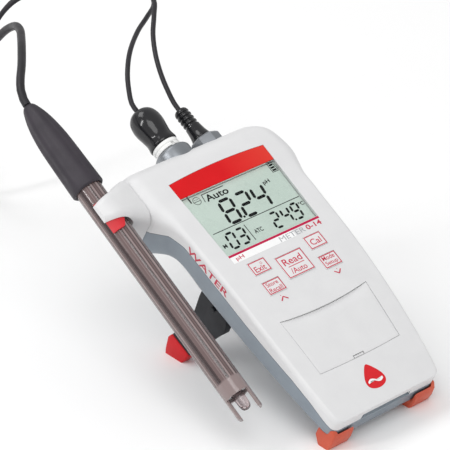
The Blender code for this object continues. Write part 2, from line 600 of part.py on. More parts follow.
def make_electrode(looks, pivot):
    """The electrode, drawn along its own axis: the clip at 0, the cap at +Y, the tip at -Y."""
    def piece(name, shape, look, sharp=35.0):
        obj = solid(name, *shape, look, sharp=sharp)
        obj.parent = pivot
        obj.data.transform(electrode_matrix(pivot))
        return obj

    centre = (0.0, 0.0, 0.0)
    grip = piece("clip_grip", sleeve(7.55, 6.6, -12.0, 5.2, centre, segments=32, chamfer=0.2), looks["grip"])
    combine(grip, piece("mouth", prism_y(CLIP_MOUTH, -15.0, 10.0), None))

    shaft = piece("electrode_shaft", shaft_shape(), looks["shaft"])
    prong = math.atan2(0.604, 0.797)
    for side in (-1, 1):
        turn = Matrix.Rotation(-prong, 3, "Y")
        cut = prism_y([(0.0, 0.0), (9.0, side * 5.2), (9.0, side * 9.0), (-9.0, side * 9.0), (-9.0, side * 5.2)],
                      -120.0, -102.6)
        cutter = solid("gap", [tuple(turn @ Vector(p)) for p in cut[0]], cut[1])
        cutter.data.transform(electrode_matrix(pivot))
        cutter.parent = pivot
        combine(shaft, cutter)
    piece("electrode_tip_plug", turned([(-101.8, 3.0), (-101.8, 4.6), (-101.3, 4.9), (-96.2, 4.9), (-96.2, 3.0)],
                                       centre, segments=24, ring=True), looks["inner"])
    bulb = [(-110.2, 0.8), (-109.8, 1.7), (-108.8, 2.25), (-103.0, 2.7), (-88.0, 2.7), (-88.0, 2.0)]
    piece("glass_bulb", turned(bulb, centre, segments=20), looks["bulb"])
    stem = [(-87.6, 2.6), (-30.0, 2.6), (-29.0, 3.2), (12.0, 3.2), (13.0, 2.6)]
    piece("inner_tube", turned(stem, centre, segments=16), looks["inner"])
    piece("temperature_sensor", cylinder(0.7, -95.6, -20.0, (0.0, 0.0, -4.2), segments=10), looks["steel"])
    cap = [(14.6, 7.5), (15.2, 8.0), (24.0, 7.9), (38.0, 7.6), (44.0, 7.3), (49.0, 6.8), (53.5, 6.1), (57.5, 5.2),
           (61.0, 4.1), (63.2, 3.2), (64.2, 2.4)]
    obj = piece("electrode_cap", turned(cap, centre, segments=24), looks["cap"])
    combine(obj, piece("socket", cylinder(6.65, 10.0, 21.5, centre), None))


def shaft_shape():
    profile = [(-112.4, SHAFT_BORE), (-112.4, 5.9), (-111.6, SHAFT_RADIUS), (20.6, SHAFT_RADIUS), (21.0, 5.9),
               (21.0, SHAFT_BORE)]
    return turned(profile, (0.0, 0.0, 0.0), segments=24, ring=True)


def prism_y(outline, low, high):
    """Extrudes an (x, z) outline from y = low to y = high."""
    return loft([[(x, y, z) for x, z in outline] for y in (low, high)])


def smooth_route(points, step):
    """Points about one step apart on a smooth curve through a route's points."""
    route = [Vector(p) for p in points]
    route = [2 * route[0] - route[1]] + route + [2 * route[-1] - route[-2]]
    smooth = []
    for before, start, end, after in zip(route, route[1:], route[2:], route[3:]):
        parts = max(round((end - start).length / step), 1)
        for i in range(parts):
            t = i / parts
            smooth.append(0.5 * (2 * start + (end - before) * t + (2 * before - 5 * start + 4 * end - after) * t**2
                                 + (3 * start - before - 3 * end + after) * t**3))
    return smooth + [route[-2]]


def cord(name, points, diameter, look):
    """A tube along a route, in the world's frame."""
    curve = bpy.data.curves.new(name, "CURVE")
    curve.dimensions = "3D"
    curve.bevel_depth = diameter / 2 * MM
    curve.bevel_resolution = 2
    curve.use_fill_caps = True
    spline = curve.splines.new("POLY")
    route = smooth_route(points, CABLE_STEP)
    spline.points.add(len(route) - 1)
    for point, place in zip(spline.points, route):
        point.co = (*(place * MM), 1.0)
    curve.materials.append(look)
    obj = bpy.data.objects.new(name, curve)
    bpy.context.scene.collection.objects.link(obj)


def make_cords(looks):
    cord("electrode_cable", CABLE_ROUTE, CABLE_DIAMETER, looks["cable"])
    cord("bnc_tail", BNC_ROUTE, TAIL_DIAMETER, looks["cable"])
    cord("cinch_tail", CINCH_ROUTE, TAIL_DIAMETER, looks["cable"])
    width, height = COIL_BUNDLE
    bundle = []
    for turn in range(8):
        angle = math.radians(45 * turn + 22.5)
        bundle.append((0.1 + height / 2 * (1 + math.sin(angle) / math.sin(math.radians(67.5))),
                       COIL_RADIUS + width / 2 * math.cos(angle) / math.cos(math.radians(22.5))))
    solid("cable_coil", *turned(bundle, (*COIL_CENTRE, 0.0), "Z", 32, ring=True), looks["cable"])
    near, far = SPLITTER_ENDS
    sections = []
    for part, half_width, half_height in ((0.0, 4.3, 2.3), (0.06, 4.6, 2.6), (0.45, 4.3, 2.9), (0.75, 2.5, 2.5),
                                          (1.0, 2.1, 2.1)):
        y = near + (far - near) * part
        turns = [math.tau * i / 16 for i in range(16)]
        sections.append([(SPLITTER_X + half_width * math.cos(a), y, 3.05 + half_height * math.sin(a)) for a in turns])
    solid("y_splitter", *loft(sections), looks["cable"])


def main():
    clear_scene()
    looks = make_materials()
    meter = frame_at("meter_frame", None, (CENTRE_X, CENTRE_Y, ORIGIN_LIFT), TILT)
    make_front_cover(looks, meter)
    make_rear_shell(looks, meter)
    make_screws(looks, meter)
    make_display(looks, meter)
    make_keys(looks, meter)
    make_battery_bay(looks, meter)
    make_front_feet(looks, meter)
    make_stand(looks, meter)
    make_connectors(looks, meter)
    pivot = make_arm(looks, meter)
    make_electrode(looks, pivot)
    make_cords(looks)


main()
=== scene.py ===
"""Looks of a portable pH meter on its stand, with a combination electrode in a side clip and its cords.

Shapes are drawn in millimetres of the meter's own frame: X across the face, Y along it towards the
connectors, Z out of it. METER places that frame in the row frame, in metres.
"""
import math

import bmesh
import bpy
from mathutils import Matrix, Vector


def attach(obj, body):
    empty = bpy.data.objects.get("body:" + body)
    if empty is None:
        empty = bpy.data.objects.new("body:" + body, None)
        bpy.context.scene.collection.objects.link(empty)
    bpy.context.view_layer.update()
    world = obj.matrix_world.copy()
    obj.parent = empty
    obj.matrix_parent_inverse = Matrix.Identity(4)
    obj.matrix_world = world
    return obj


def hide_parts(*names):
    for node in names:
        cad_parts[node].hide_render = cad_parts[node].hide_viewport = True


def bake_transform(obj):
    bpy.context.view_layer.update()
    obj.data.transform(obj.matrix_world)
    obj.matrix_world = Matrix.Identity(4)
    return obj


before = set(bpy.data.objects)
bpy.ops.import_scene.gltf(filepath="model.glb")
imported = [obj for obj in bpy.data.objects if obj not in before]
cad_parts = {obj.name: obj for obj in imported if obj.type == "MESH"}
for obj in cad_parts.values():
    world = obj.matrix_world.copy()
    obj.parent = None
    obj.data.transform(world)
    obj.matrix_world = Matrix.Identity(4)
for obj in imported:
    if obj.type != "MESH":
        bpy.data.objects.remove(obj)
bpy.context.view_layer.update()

MM = 0.001
GAP = 0.3

# The meter's frame in the row frame.
TILT = math.radians(27.6)
ORIGIN = Vector((11.7, 19.4, 82.3)) * MM
METER = Matrix.Translation(ORIGIN) @ Matrix.Rotation(TILT, 4, "X")

# The case: tables of (y, value) along its length.
WALL = 2.2
BOTTOM_END = -126.5
HEAD_END = 24.5
FACE_BREAK = -45.0
FACE_DROP = 4.3
FACE_DROP_SPAN = 58.0
HEAD_ROUND_START = 14.0
HEAD_ROUND_DROP = 9.0
HUB_PLANE = -43.5
END_SPAN = 11.0
MOULD_SPLIT = [(-135, -16.5), (-124, -13.5), (-110, -10.2), (-98, -8.8), (-61, -7.7), (-35, -6.6),
               (-20, -5.9), (-10.6, -8.1), (-4.2, -12.5), (1, -16), (8, -17.5), (35, -17.5)]
HALF_WIDTH = [(-126.5, 28.5), (-125.8, 30.2), (-124.3, 31.6), (-120, 32.7), (-103, 34.8), (-76, 36.8),
              (-45, 37.9), (-20, 38.5), (-11, 39.5), (-5, 42.4), (-1, 44.0), (4, 44.6), (11, 43.4),
              (18, 40.6), (24.5, 34.5)]
HALF_WIDTH_HUB = [(-126.5, 28.5), (-125.8, 30.2), (-124.3, 31.6), (-120, 32.7), (-103, 34.8), (-76, 36.8),
                  (-45, 37.9), (-20, 38.9), (-11, 40.2), (-5, 42.6), (-1, 44.2), (4, 45.0), (18, 45.0),
                  (24.5, 43.5)]
BACK = [(-126.5, -21.5), (-115, -21.0), (-98, -20.8), (-38, -20.8), (-26, -19.9), (-19, -20.2), (-14, -22.4),
        (-8.5, -27.0), (-3, -32.2), (2, -34.5), (7, -34.8), (16, -34.8), (21, -33.0), (24.5, -29.5)]
TOP_EDGE = [(-126.5, 2.0), (-120, 2.4), (-20, 2.5), (-10, 4.5), (-2, 8.0), (24.5, 8.0)]
BACK_EDGE = [(-126.5, 5.0), (-20, 6.5), (-6, 8.0), (24.5, 8.5)]
DISPLAY = ((28.4, 0.0), (27.4, -35.0))
BAND = ((28.6, 8.8), (28.4, 0.0))
BAND_ARCH = 1.4
DOOR = ((26.2, -73.6), (24.3, -103.0))
DOOR_SAG = -1.7
DOOR_BULGE = -0.6
KEYS = {
    "key_exit": (-22.1, -12.0, -42.3, -49.6),
    "key_read": (-7.9, 7.7, -45.4, -57.8),
    "key_cal": (12.0, 22.1, -42.0, -49.5),
    "key_mode": (12.0, 22.1, -53.5, -60.9),
    "key_store": (-22.1, -11.9, -53.6, -60.9),
}
BNC_AXIS = (-7.5, -12.0)
CINCH_AXIS = (12.2, -12.0)
ARM_AXIS = (11.0, -17.0)
ELECTRODE = (METER @ Matrix.Translation(Vector((-60.0, 11.0, -7.9)) * MM)
             @ Matrix.Rotation(math.radians(3.0), 4, "X"))
SHAFT_RADIUS = 6.35
CLIP_MOUTH = [(0.0, 0.0), (-20.0, 5.4), (-20.0, -20.0), (0.5, -20.0)]
STAND_AXIS = (-45.0, -24.5)
STAND_LEG = [(-34.7, -21.1), (-34.9, -27.5), (-36.2, -37.2), (-33.4, -52.0), (-31.9, -62.4), (-45.0, -62.4),
             (-49.6, -47.5), (-52.7, -38.1), (-55.2, -31.6), (-55.0, -27.5), (-53.0, -21.1)]
STAND_FOOT = [(-31.6, -62.7), (-30.4, -66.0), (-32.0, -73.0), (-33.4, -76.5), (-43.6, -71.0), (-44.6, -66.0),
              (-45.0, -62.7)]
STAND_LEG_X = (29.2, 33.2)
SCREW_PLACES = [(-28.0, 6.0), (28.0, 6.0), (-24.0, -112.0), (24.0, -112.0)]

# The picture on the display lies under the window, so it sits this far from the window's own middle.
PICTURE_SHIFT = (1.2, 0.7)
PICTURE_DEPTH = -1.55
PRINT_LIFT = 0.03
SLANT = 0.12

# Free cords, in metres of the row frame, from the object outwards.
CABLE_DIAMETER = 0.0040
TAIL_DIAMETER = 0.0024
CABLE_ROUTE = [(-0.0483, 0.0888, 0.1135), (-0.0479, 0.0918, 0.1153), (-0.0462, 0.0958, 0.1177),
               (-0.0426, 0.1006, 0.1203), (-0.0365, 0.1074, 0.1226), (-0.0292, 0.1166, 0.1238),
               (-0.0216, 0.1266, 0.1236), (-0.0142, 0.1372, 0.1219), (-0.0084, 0.1490, 0.1176),
               (-0.0064, 0.1604, 0.1096), (-0.0076, 0.1698, 0.0980), (-0.0105, 0.1766, 0.0820),
               (-0.0145, 0.1825, 0.0620), (-0.0190, 0.1885, 0.0420), (-0.0250, 0.1960, 0.0230),
               (-0.0320, 0.2055, 0.0095), (-0.0387, 0.2154, 0.0031)]
BNC_ROUTE = [(0.0042, 0.0745, 0.0976), (0.0046, 0.0786, 0.0998), (0.0072, 0.0836, 0.1033),
             (0.0122, 0.0906, 0.1082), (0.0222, 0.1008, 0.1120), (0.0362, 0.1120, 0.1136),
             (0.0496, 0.1210, 0.1136), (0.0620, 0.1305, 0.1130), (0.0690, 0.1435, 0.1126),
             (0.0660, 0.1580, 0.1120), (0.0550, 0.1700, 0.1115), (0.0400, 0.1805, 0.1105),
             (0.0250, 0.1890, 0.1075), (0.0130, 0.1925, 0.0960), (0.0055, 0.1920, 0.0790),
             (0.0026, 0.1900, 0.0600), (0.0020, 0.1886, 0.0400), (0.0021, 0.1895, 0.0220),
             (0.0024, 0.1934, 0.0095), (0.0028, 0.1994, 0.0036), (0.0032, 0.2056, 0.0026)]
CINCH_ROUTE = [(0.0239, 0.0674, 0.0939), (0.0242, 0.0716, 0.0961), (0.0255, 0.0770, 0.0992),
               (0.0285, 0.0854, 0.1034), (0.0338, 0.0958, 0.1082), (0.0410, 0.1062, 0.1128),
               (0.0498, 0.1158, 0.1166), (0.0570, 0.1245, 0.1190), (0.0595, 0.1360, 0.1202),
               (0.0540, 0.1480, 0.1206), (0.0420, 0.1585, 0.1200), (0.0280, 0.1685, 0.1185),
               (0.0140, 0.1770, 0.1135), (0.0045, 0.1825, 0.1010), (-0.0005, 0.1855, 0.0820),
               (-0.0020, 0.1866, 0.0600), (-0.0024, 0.1868, 0.0380), (-0.0023, 0.1886, 0.0200),
               (-0.0020, 0.1932, 0.0085), (-0.0016, 0.1994, 0.0034), (-0.0014, 0.2056, 0.0026)]
COIL_CENTRE = Vector((-0.022, 0.240))
COIL_RINGS = [(0.0250, 0.00215), (0.0208, 0.00215), (0.0229, 0.0058)]
COIL_STEPS = 24
COIL_TURNS = 3.5
CORD_SIDES = 20
SPLITTER_ENDS = (0.2060, 0.2215)
SPLITTER_X = 0.0010
SPLITTER_HEIGHT = 0.00305


# The camera's direction from the meter, its distance and its offsets in the picture, and the studio.
CAMERA_TURN = math.radians(-41.34)
CAMERA_RISE = math.radians(30.56)
CAMERA_REACH = 1.3565
CAMERA_ASIDE = 0.001232
CAMERA_BELOW = 0.020967
CAMERA_LENS = 238.7
SENSOR_WIDTH = 36.0
FARTHEST_SEEN = 20.0
LIT_POINT = Vector((0.0, 0.0, 0.05))
WORLD_STRENGTH = 0.62
FLOOR_HALF = 6.0
LIGHTS = [("key", (-0.7, -0.9, 1.9), (1.2, 1.2), 13.0), ("top", (-0.5, 1.2, 1.9), (1.2, 1.0), 13.0),
          ("fill", (1.5, -1.4, 0.8), (0.8, 0.8), 3.0), ("window", (-1.4, 0.3, 1.1), (0.14, 0.9), 6.0)]


# ---- camera, light and floor ----

def make_camera():
    turn, rise = CAMERA_TURN, CAMERA_RISE
    view = Vector((math.sin(turn) * math.cos(rise), -math.cos(turn) * math.cos(rise), math.sin(rise)))
    right = Vector((math.cos(turn), math.sin(turn), 0.0))
    up = view.cross(right)
    camera = bpy.data.objects.new("camera", bpy.data.cameras.new("camera"))
    camera.data.lens = CAMERA_LENS
    camera.data.sensor_width = SENSOR_WIDTH
    camera.data.clip_end = FARTHEST_SEEN
    camera.location = ORIGIN + view * CAMERA_REACH - right * CAMERA_ASIDE - up * CAMERA_BELOW
    camera.rotation_euler = view.to_track_quat("Z", "Y").to_euler()
    bpy.context.scene.collection.objects.link(camera)
    bpy.context.scene.camera = camera


def area_light(name, place, size, power):
    """A soft white rectangle that faces the meter."""
    light = bpy.data.lights.new(name, "AREA")
    light.shape = "RECTANGLE"
    light.size, light.size_y = size
    light.energy = power
    obj = bpy.data.objects.new(name, light)
    obj.location = place
    obj.rotation_euler = (Vector(place) - LIT_POINT).to_track_quat("Z", "Y").to_euler()
    bpy.context.scene.collection.objects.link(obj)


def make_studio():
    bpy.context.scene.view_settings.view_transform = "Standard"
    world = bpy.data.worlds.new("studio")
    bpy.context.scene.world = world
    world.use_nodes = True
    background = world.node_tree.nodes["Background"]
    background.inputs["Color"].default_value = (1.0, 1.0, 1.0, 1.0)
    background.inputs["Strength"].default_value = WORLD_STRENGTH
    for light in LIGHTS:
        area_light(*light)
    floor = bpy.data.meshes.new("floor")
    floor.from_pydata([(x * FLOOR_HALF, y * FLOOR_HALF, 0.0) for x, y in ((-1, -1), (1, -1), (1, 1), (-1, 1))],
                      [], [(0, 1, 2, 3)])
    obj = bpy.data.objects.new("floor", floor)
    made = bpy.data.materials.new("floor_paper")
    made.use_nodes = True
    shader = made.node_tree.nodes["Principled BSDF"]
    shader.inputs["Base Color"].default_value = (0.93, 0.93, 0.93, 1.0)
    shader.inputs["Roughness"].default_value = 0.9
    floor.materials.append(made)
    bpy.context.scene.collection.objects.link(obj)


# ---- materials ----

class Look:
    """A material being built: object coordinates in metres feed every texture."""

    def __init__(self, name):
        self.made = bpy.data.materials.new(name)
        self.made.use_nodes = True
        self.tree = self.made.node_tree
        self.shader = self.tree.nodes["Principled BSDF"]
        self.place = self.tree.nodes.new("ShaderNodeTexCoord").outputs["Object"]

    def set(self, **values):
        for name, value in values.items():
            self.shader.inputs[name.replace("_", " ")].default_value = value
        return self

    def node(self, kind, **values):
        made = self.tree.nodes.new(kind)
        for name, value in values.items():
            made.inputs[name].default_value = value
        return made

    def link(self, source, target):
        self.tree.links.new(source, target)

    def noise(self, size, detail=3.0, stretch=None, turn=None):
        """Noise with features about size metres across, stretched along the meter's own Y if asked."""
        texture = self.node("ShaderNodeTexNoise", Scale=1.0 / size, Detail=detail, Roughness=0.55)
        source = self.place
        if stretch is not None:
            mapping = self.node("ShaderNodeMapping")
            mapping.vector_type = "TEXTURE"
            mapping.inputs["Rotation"].default_value = turn or (TILT, 0.0, 0.0)
            mapping.inputs["Scale"].default_value = stretch
            self.link(source, mapping.inputs["Vector"])
            source = mapping.outputs["Vector"]
        self.link(source, texture.inputs["Vector"])
        return texture.outputs["Fac"]

    def span(self, source, low, high, start=0.3, end=0.7):
        ranged = self.node("ShaderNodeMapRange")
        for name, value in (("From Min", start), ("From Max", end), ("To Min", low), ("To Max", high)):
            ranged.inputs[name].default_value = value
        self.link(source, ranged.inputs["Value"])
        return ranged.outputs["Result"]

    def mix(self, factor, first, second):
        mixed = self.tree.nodes.new("ShaderNodeMix")
        mixed.data_type = "RGBA"
        self.link(factor, mixed.inputs["Factor"])
        for socket, value in ((mixed.inputs["A"], first), (mixed.inputs["B"], second)):
            if isinstance(value, tuple):
                socket.default_value = (*value, 1.0)
            else:
                self.link(value, socket)
        return mixed.outputs["Result"]

    def colour(self, source):
        self.link(source, self.shader.inputs["Base Color"])
        return self

    def rough(self, source, low, high):
        self.link(self.span(source, low, high), self.shader.inputs["Roughness"])
        return self

    def bump(self, source, height, strength=1.0, after=None):
        bump = self.node("ShaderNodeBump", Strength=strength, Distance=height)
        self.link(source, bump.inputs["Height"])
        if after is not None:
            self.link(after, bump.inputs["Normal"])
        self.link(bump.outputs["Normal"], self.shader.inputs["Normal"])
        return bump.outputs["Normal"]


def moulded(name, light, dark, rough, depth=0.00002, metallic=0.0, specular=0.5, coat=0.0):
    """Moulded plastic or rubber: faint mottling, a fine spark-eroded grain and uneven gloss."""
    look = Look(name).set(Metallic=metallic, Specular_IOR_Level=specular, Coat_Weight=coat, Coat_Roughness=0.12)
    mottle = look.noise(0.011, 4.0)
    look.colour(look.mix(look.span(mottle, 0.0, 1.0), light, dark))
    look.rough(look.noise(0.006, 5.0), rough[0], rough[1])
    broad = look.bump(look.noise(0.004, 2.0), depth * 1.5, 0.5)
    look.bump(look.noise(0.00035, 2.0), depth, 0.8, after=broad)
    return look.made


def printed(name, light, dark, rough=(0.35, 0.5), specular=0.3):
    """Screen-printed ink with slight unevenness."""
    look = Look(name).set(Specular_IOR_Level=specular)
    look.colour(look.mix(look.span(look.noise(0.0012, 4.0), 0.0, 1.0), light, dark))
    look.rough(look.noise(0.0008), *rough)
    look.bump(look.noise(0.0002, 2.0), 0.000008)
    return look.made


def brushed(name, light, dark, rough):
    """Turned or drawn metal with fine lines."""
    look = Look(name).set(Metallic=1.0)
    lines = look.noise(0.0004, 4.0, stretch=(1.0, 24.0, 1.0))
    look.colour(look.mix(look.span(lines, 0.0, 1.0), light, dark))
    look.rough(lines, *rough)
    look.bump(lines, 0.00001)
    return look.made


def red_ink():
    """The red band: deep red with a warmer right end."""
    look = Look("band_red").set(Specular_IOR_Level=0.15)
    split = look.node("ShaderNodeSeparateXYZ")
    look.link(look.place, split.inputs["Vector"])
    warm = look.span(split.outputs["X"], 0.0, 1.0, 0.012, 0.046)
    tone = look.mix(look.span(look.noise(0.008, 3.0), 0.0, 1.0), (0.67, 0.009, 0.013), (0.62, 0.008, 0.011))
    look.colour(look.mix(warm, tone, (0.70, 0.048, 0.032)))
    look.rough(look.noise(0.003), 0.3, 0.42)
    look.bump(look.noise(0.0003, 2.0), 0.000015)
    return look.made


def clear_window():
    """Thin clear plastic: mostly see-through, with gloss that grows at a grazing angle."""
    look = Look("window_clear")
    look.set(Base_Color=(0.95, 0.95, 0.95, 1.0), Metallic=1.0)
    look.rough(look.noise(0.004), 0.04, 0.1)
    clear = look.node("ShaderNodeBsdfTransparent", Color=(0.99, 1.0, 0.995, 1.0))
    fresnel = look.node("ShaderNodeFresnel", IOR=1.16)
    mixed = look.node("ShaderNodeMixShader")
    look.link(fresnel.outputs["Fac"], mixed.inputs["Fac"])
    look.link(clear.outputs["BSDF"], mixed.inputs[1])
    look.link(look.shader.outputs["BSDF"], mixed.inputs[2])
    output = next(n for n in look.tree.nodes if n.type == "OUTPUT_MATERIAL")
    look.link(mixed.outputs["Shader"], output.inputs["Surface"])
    return look.made


def lcd_glass():
    """Reflective display glass: grey-green with a fine grid of cells."""
    look = Look("lcd_green").set(Specular_IOR_Level=0.4)
    cloud = look.span(look.noise(0.03, 2.0), 0.0, 1.0)
    base = look.mix(cloud, (0.67, 0.755, 0.70), (0.60, 0.69, 0.635))
    speck = look.span(look.noise(0.00045, 2.0), 0.0, 1.0, 0.5, 0.8)
    look.colour(look.mix(speck, base, (0.73, 0.81, 0.76)))
    look.rough(look.noise(0.003), 0.25, 0.4)
    look.bump(look.noise(0.0003, 2.0), 0.00001)
    return look.made


def tinted_tube():
    """Smoky see-through plastic with streaks along its length, painted highlight streaks and a painted dark rim."""
    look = Look("shaft_tint").set(IOR=1.5, Alpha=0.82, Coat_Weight=0.5, Coat_Roughness=0.05)
    lean = (TILT + math.radians(3.0), 0.0, 0.0)
    broad = look.noise(0.0030, 0.0, stretch=(1.0, 900.0, 1.0), turn=lean)
    highlight_streaks = look.noise(0.0011, 0.0, stretch=(1.0, 900.0, 1.0), turn=lean)
    tone = look.mix(look.span(broad, 0.0, 1.0, 0.44, 0.56), (0.17, 0.115, 0.112), (0.055, 0.034, 0.035))
    # Painted highlight: narrow light streaks along the tube.
    tone = look.mix(look.span(highlight_streaks, 0.0, 1.0, 0.56, 0.72), tone, (0.36, 0.28, 0.275))
    along = look.node("ShaderNodeMapping", Location=ELECTRODE.translation, Rotation=lean)
    along.vector_type = "TEXTURE"
    look.link(look.place, along.inputs["Vector"])
    split = look.node("ShaderNodeSeparateXYZ")
    look.link(along.outputs["Vector"], split.inputs["Vector"])
    tone = look.mix(look.span(split.outputs["Y"], 1.0, 0.0, -0.0955, -0.0945), tone, (0.30, 0.23, 0.225))
    # Painted shade: the colour turns nearly black where the surface turns away from view, a dark rim for refraction.
    edge = look.node("ShaderNodeLayerWeight", Blend=0.5)
    look.colour(look.mix(look.span(edge.outputs["Facing"], 0.0, 1.0, 0.72, 0.95), tone, (0.03, 0.018, 0.019)))
    look.rough(highlight_streaks, 0.1, 0.2)
    look.bump(broad, 0.00001, 0.2)
    return look.made


def inner_glass():
    look = Look("inner_stem").set(Transmission_Weight=0.35, IOR=1.5)
    streak = look.noise(0.0009, 4.0, stretch=(1.0, 40.0, 1.0), turn=(TILT + math.radians(3.0), 0.0, 0.0))
    look.colour(look.mix(look.span(streak, 0.0, 1.0), (0.20, 0.125, 0.12), (0.10, 0.06, 0.062)))
    look.rough(streak, 0.1, 0.25)
    look.bump(streak, 0.000006)
    return look.made


def bulb_glass():
    look = Look("bulb_clear").set(Transmission_Weight=0.9, IOR=1.48)
    swirl = look.noise(0.0022, 4.0)
    look.colour(look.mix(look.span(swirl, 0.0, 1.0), (0.80, 0.70, 0.70), (0.60, 0.49, 0.50)))
    look.rough(swirl, 0.03, 0.14)
    look.bump(swirl, 0.00006)
    return look.made


def circuit_board():
    look = Look("board_green")
    tracks = look.noise(0.0016, 1.0)
    look.colour(look.mix(look.span(tracks, 0.0, 1.0, 0.48, 0.52), (0.02, 0.14, 0.06), (0.05, 0.26, 0.12)))
    look.rough(tracks, 0.3, 0.5)
    look.bump(tracks, 0.00004)
    return look.made


def make_looks():
    return {
        "white": moulded("shell_white", (0.715, 0.715, 0.72), (0.685, 0.685, 0.692), (0.36, 0.5)),
        "key": moulded("key_white", (0.735, 0.73, 0.733), (0.715, 0.71, 0.713), (0.42, 0.55)),
        "grey": moulded("shell_grey", (0.245, 0.285, 0.325), (0.215, 0.25, 0.29), (0.38, 0.52), depth=0.00003),
        "red": red_ink(),
        "window": clear_window(),
        "lcd": lcd_glass(),
        "segment": printed("segment_black", (0.004, 0.005, 0.006), (0.010, 0.011, 0.012), (0.5, 0.6), 0.05),
        "ink": printed("ink_red", (0.60, 0.045, 0.085), (0.52, 0.035, 0.07)),
        "mark": printed("mark_red", (0.68, 0.012, 0.02), (0.60, 0.01, 0.016)),
        "magenta": printed("ink_magenta", (0.52, 0.006, 0.065), (0.46, 0.005, 0.055)),
        "ink_grey": printed("ink_grey", (0.42, 0.43, 0.45), (0.36, 0.37, 0.39)),
        "ink_white": printed("ink_white", (0.90, 0.90, 0.90), (0.86, 0.86, 0.86)),
        "board": circuit_board(),
        "rubber_dark": moulded("rubber_dark", (0.03, 0.03, 0.034), (0.045, 0.045, 0.05), (0.5, 0.7)),
        "rubber_grey": moulded("rubber_grey", (0.30, 0.30, 0.31), (0.26, 0.26, 0.27), (0.6, 0.75)),
        "foot": moulded("foot_orange", (0.62, 0.105, 0.052), (0.52, 0.078, 0.042), (0.32, 0.48), specular=0.3),
        "stand": moulded("stand_black", (0.012, 0.013, 0.016), (0.020, 0.021, 0.025), (0.45, 0.6), depth=0.00004,
                         specular=0.25),
        "stand_red": moulded("stand_red", (0.62, 0.010, 0.016), (0.54, 0.008, 0.013), (0.3, 0.45), specular=0.25),
        "steel": brushed("steel", (0.62, 0.62, 0.63), (0.5, 0.5, 0.51), (0.25, 0.4)),
        "nickel": moulded("nickel_satin", (0.29, 0.305, 0.325), (0.24, 0.255, 0.275), (0.3, 0.42), metallic=0.75),
        "brass": brushed("brass", (0.75, 0.55, 0.22), (0.62, 0.44, 0.17), (0.25, 0.4)),
        "cell": moulded("cell_jacket", (0.07, 0.08, 0.09), (0.10, 0.11, 0.12), (0.25, 0.4)),
        "boot": moulded("boot_black", (0.010, 0.010, 0.012), (0.016, 0.016, 0.018), (0.1, 0.18), depth=0.00001,
                        specular=0.35,
                        coat=0.25),
        "ring": moulded("ring_white", (0.88, 0.88, 0.87), (0.82, 0.82, 0.81), (0.3, 0.42)),
        "cap": moulded("cap_rubber", (0.040, 0.033, 0.043), (0.028, 0.024, 0.031), (0.42, 0.58), depth=0.00004,
                       specular=0.35),
        "shaft": tinted_tube(),
        "inner": inner_glass(),
        "bulb": bulb_glass(),
        "cable": moulded("cable_black", (0.014, 0.013, 0.016), (0.022, 0.020, 0.025), (0.35, 0.5), specular=0.35),
        "grip": moulded("grip_red", (0.62, 0.012, 0.022), (0.50, 0.009, 0.016), (0.35, 0.5)),
    }


# ---- shapes ----

def curve_at(table, at):
    """Smooth value of a table of (position, value) points, without overshoot at its ends."""
    if at <= table[0][0]:
        return table[0][1]
    if at >= table[-1][0]:
        return table[-1][1]
    slopes = []
    for index in range(len(table)):
        before = table[max(index - 1, 0)]
        after = table[min(index + 1, len(table) - 1)]
        slopes.append((after[1] - before[1]) / (after[0] - before[0]))
    for index in range(len(table) - 1):
        (start, low), (end, high) = table[index], table[index + 1]
        if at <= end:
            break
    span = end - start
    t = (at - start) / span
    return ((2 * t**3 - 3 * t**2 + 1) * low + (t**3 - 2 * t**2 + t) * span * slopes[index]
            + (3 * t**2 - 2 * t**3) * high + (t**3 - t**2) * span * slopes[index + 1])


def face_height(y):
    """Height of the face's middle line: flat at the display, falling to the bottom end and over the head."""
    if y < FACE_BREAK:
        return -FACE_DROP * ((FACE_BREAK - y) / FACE_DROP_SPAN) ** 1.6
    if y > HEAD_ROUND_START:
        part = min((y - HEAD_ROUND_START) / (HEAD_END - HEAD_ROUND_START), 1.0)
        return -HEAD_ROUND_DROP * (1.0 - math.sqrt(1.0 - part**2))
    return 0.0


def corner(centre, radius, start, end, count):
    """Points of an arc, in degrees."""
    turns = [math.radians(start + (end - start) * i / count) for i in range(count + 1)]
    return [(centre[0] + radius * math.cos(a), centre[1] + radius * math.sin(a)) for a in turns]


def loft(sections, ring=False):
    """Points and faces of a solid through closed sections of equal length, which may close on themselves."""
    count = len(sections[0])
    rows = len(sections)
    points = [p for section in sections for p in section]
    faces = [] if ring else [tuple(range(count)), tuple(range(len(points) - count, len(points)))]
    for row in range(rows if ring else rows - 1):
        here, ahead = row * count, (row + 1) % rows * count
        faces += [(here + i, here + (i + 1) % count, ahead + (i + 1) % count, ahead + i) for i in range(count)]
    return points, faces


def body_section(y, inset, arc):
    """The meter's cross-section at y, inset by a wall, as points (x, y, z)."""
    top = face_height(y) - inset
    back = curve_at(BACK, y) + inset
    top_radius = max(curve_at(TOP_EDGE, y) - inset, 0.8)
    back_radius = max(curve_at(BACK_EDGE, y) - inset, 1.5)
    right = curve_at(HALF_WIDTH, y) - inset
    left = curve_at(HALF_WIDTH_HUB, y) - inset
    if inset > 0.0:
        left = min(left, -HUB_PLANE - WALL)
    outline = corner((right - top_radius, top - top_radius), top_radius, 0, 90, arc)
    outline += corner((top_radius - left, top - top_radius), top_radius, 90, 180, arc)
    outline += corner((back_radius - left, back + back_radius), back_radius, 180, 270, arc)
    outline += corner((right - back_radius, back + back_radius), back_radius, 270, 360, arc)
    return [(x, y, z) for x, z in outline]


def stations(low, high, step=2.2):
    """Places along Y, close together at both rounded ends."""
    bend = high - END_SPAN
    places = [low, low + 0.25, low + 0.7, low + 1.4, low + 2.4]
    at = places[-1]
    while at < bend:
        at = min(at + step, bend)
        places.append(at)
    for part in (0.15, 0.3, 0.45, 0.58, 0.7, 0.8, 0.88, 0.94, 0.98, 1.0):
        places.append(bend + END_SPAN * part)
    return places


def prism_x(outline, low, high):
    return loft([[(x, y, z) for y, z in outline] for x in (low, high)])


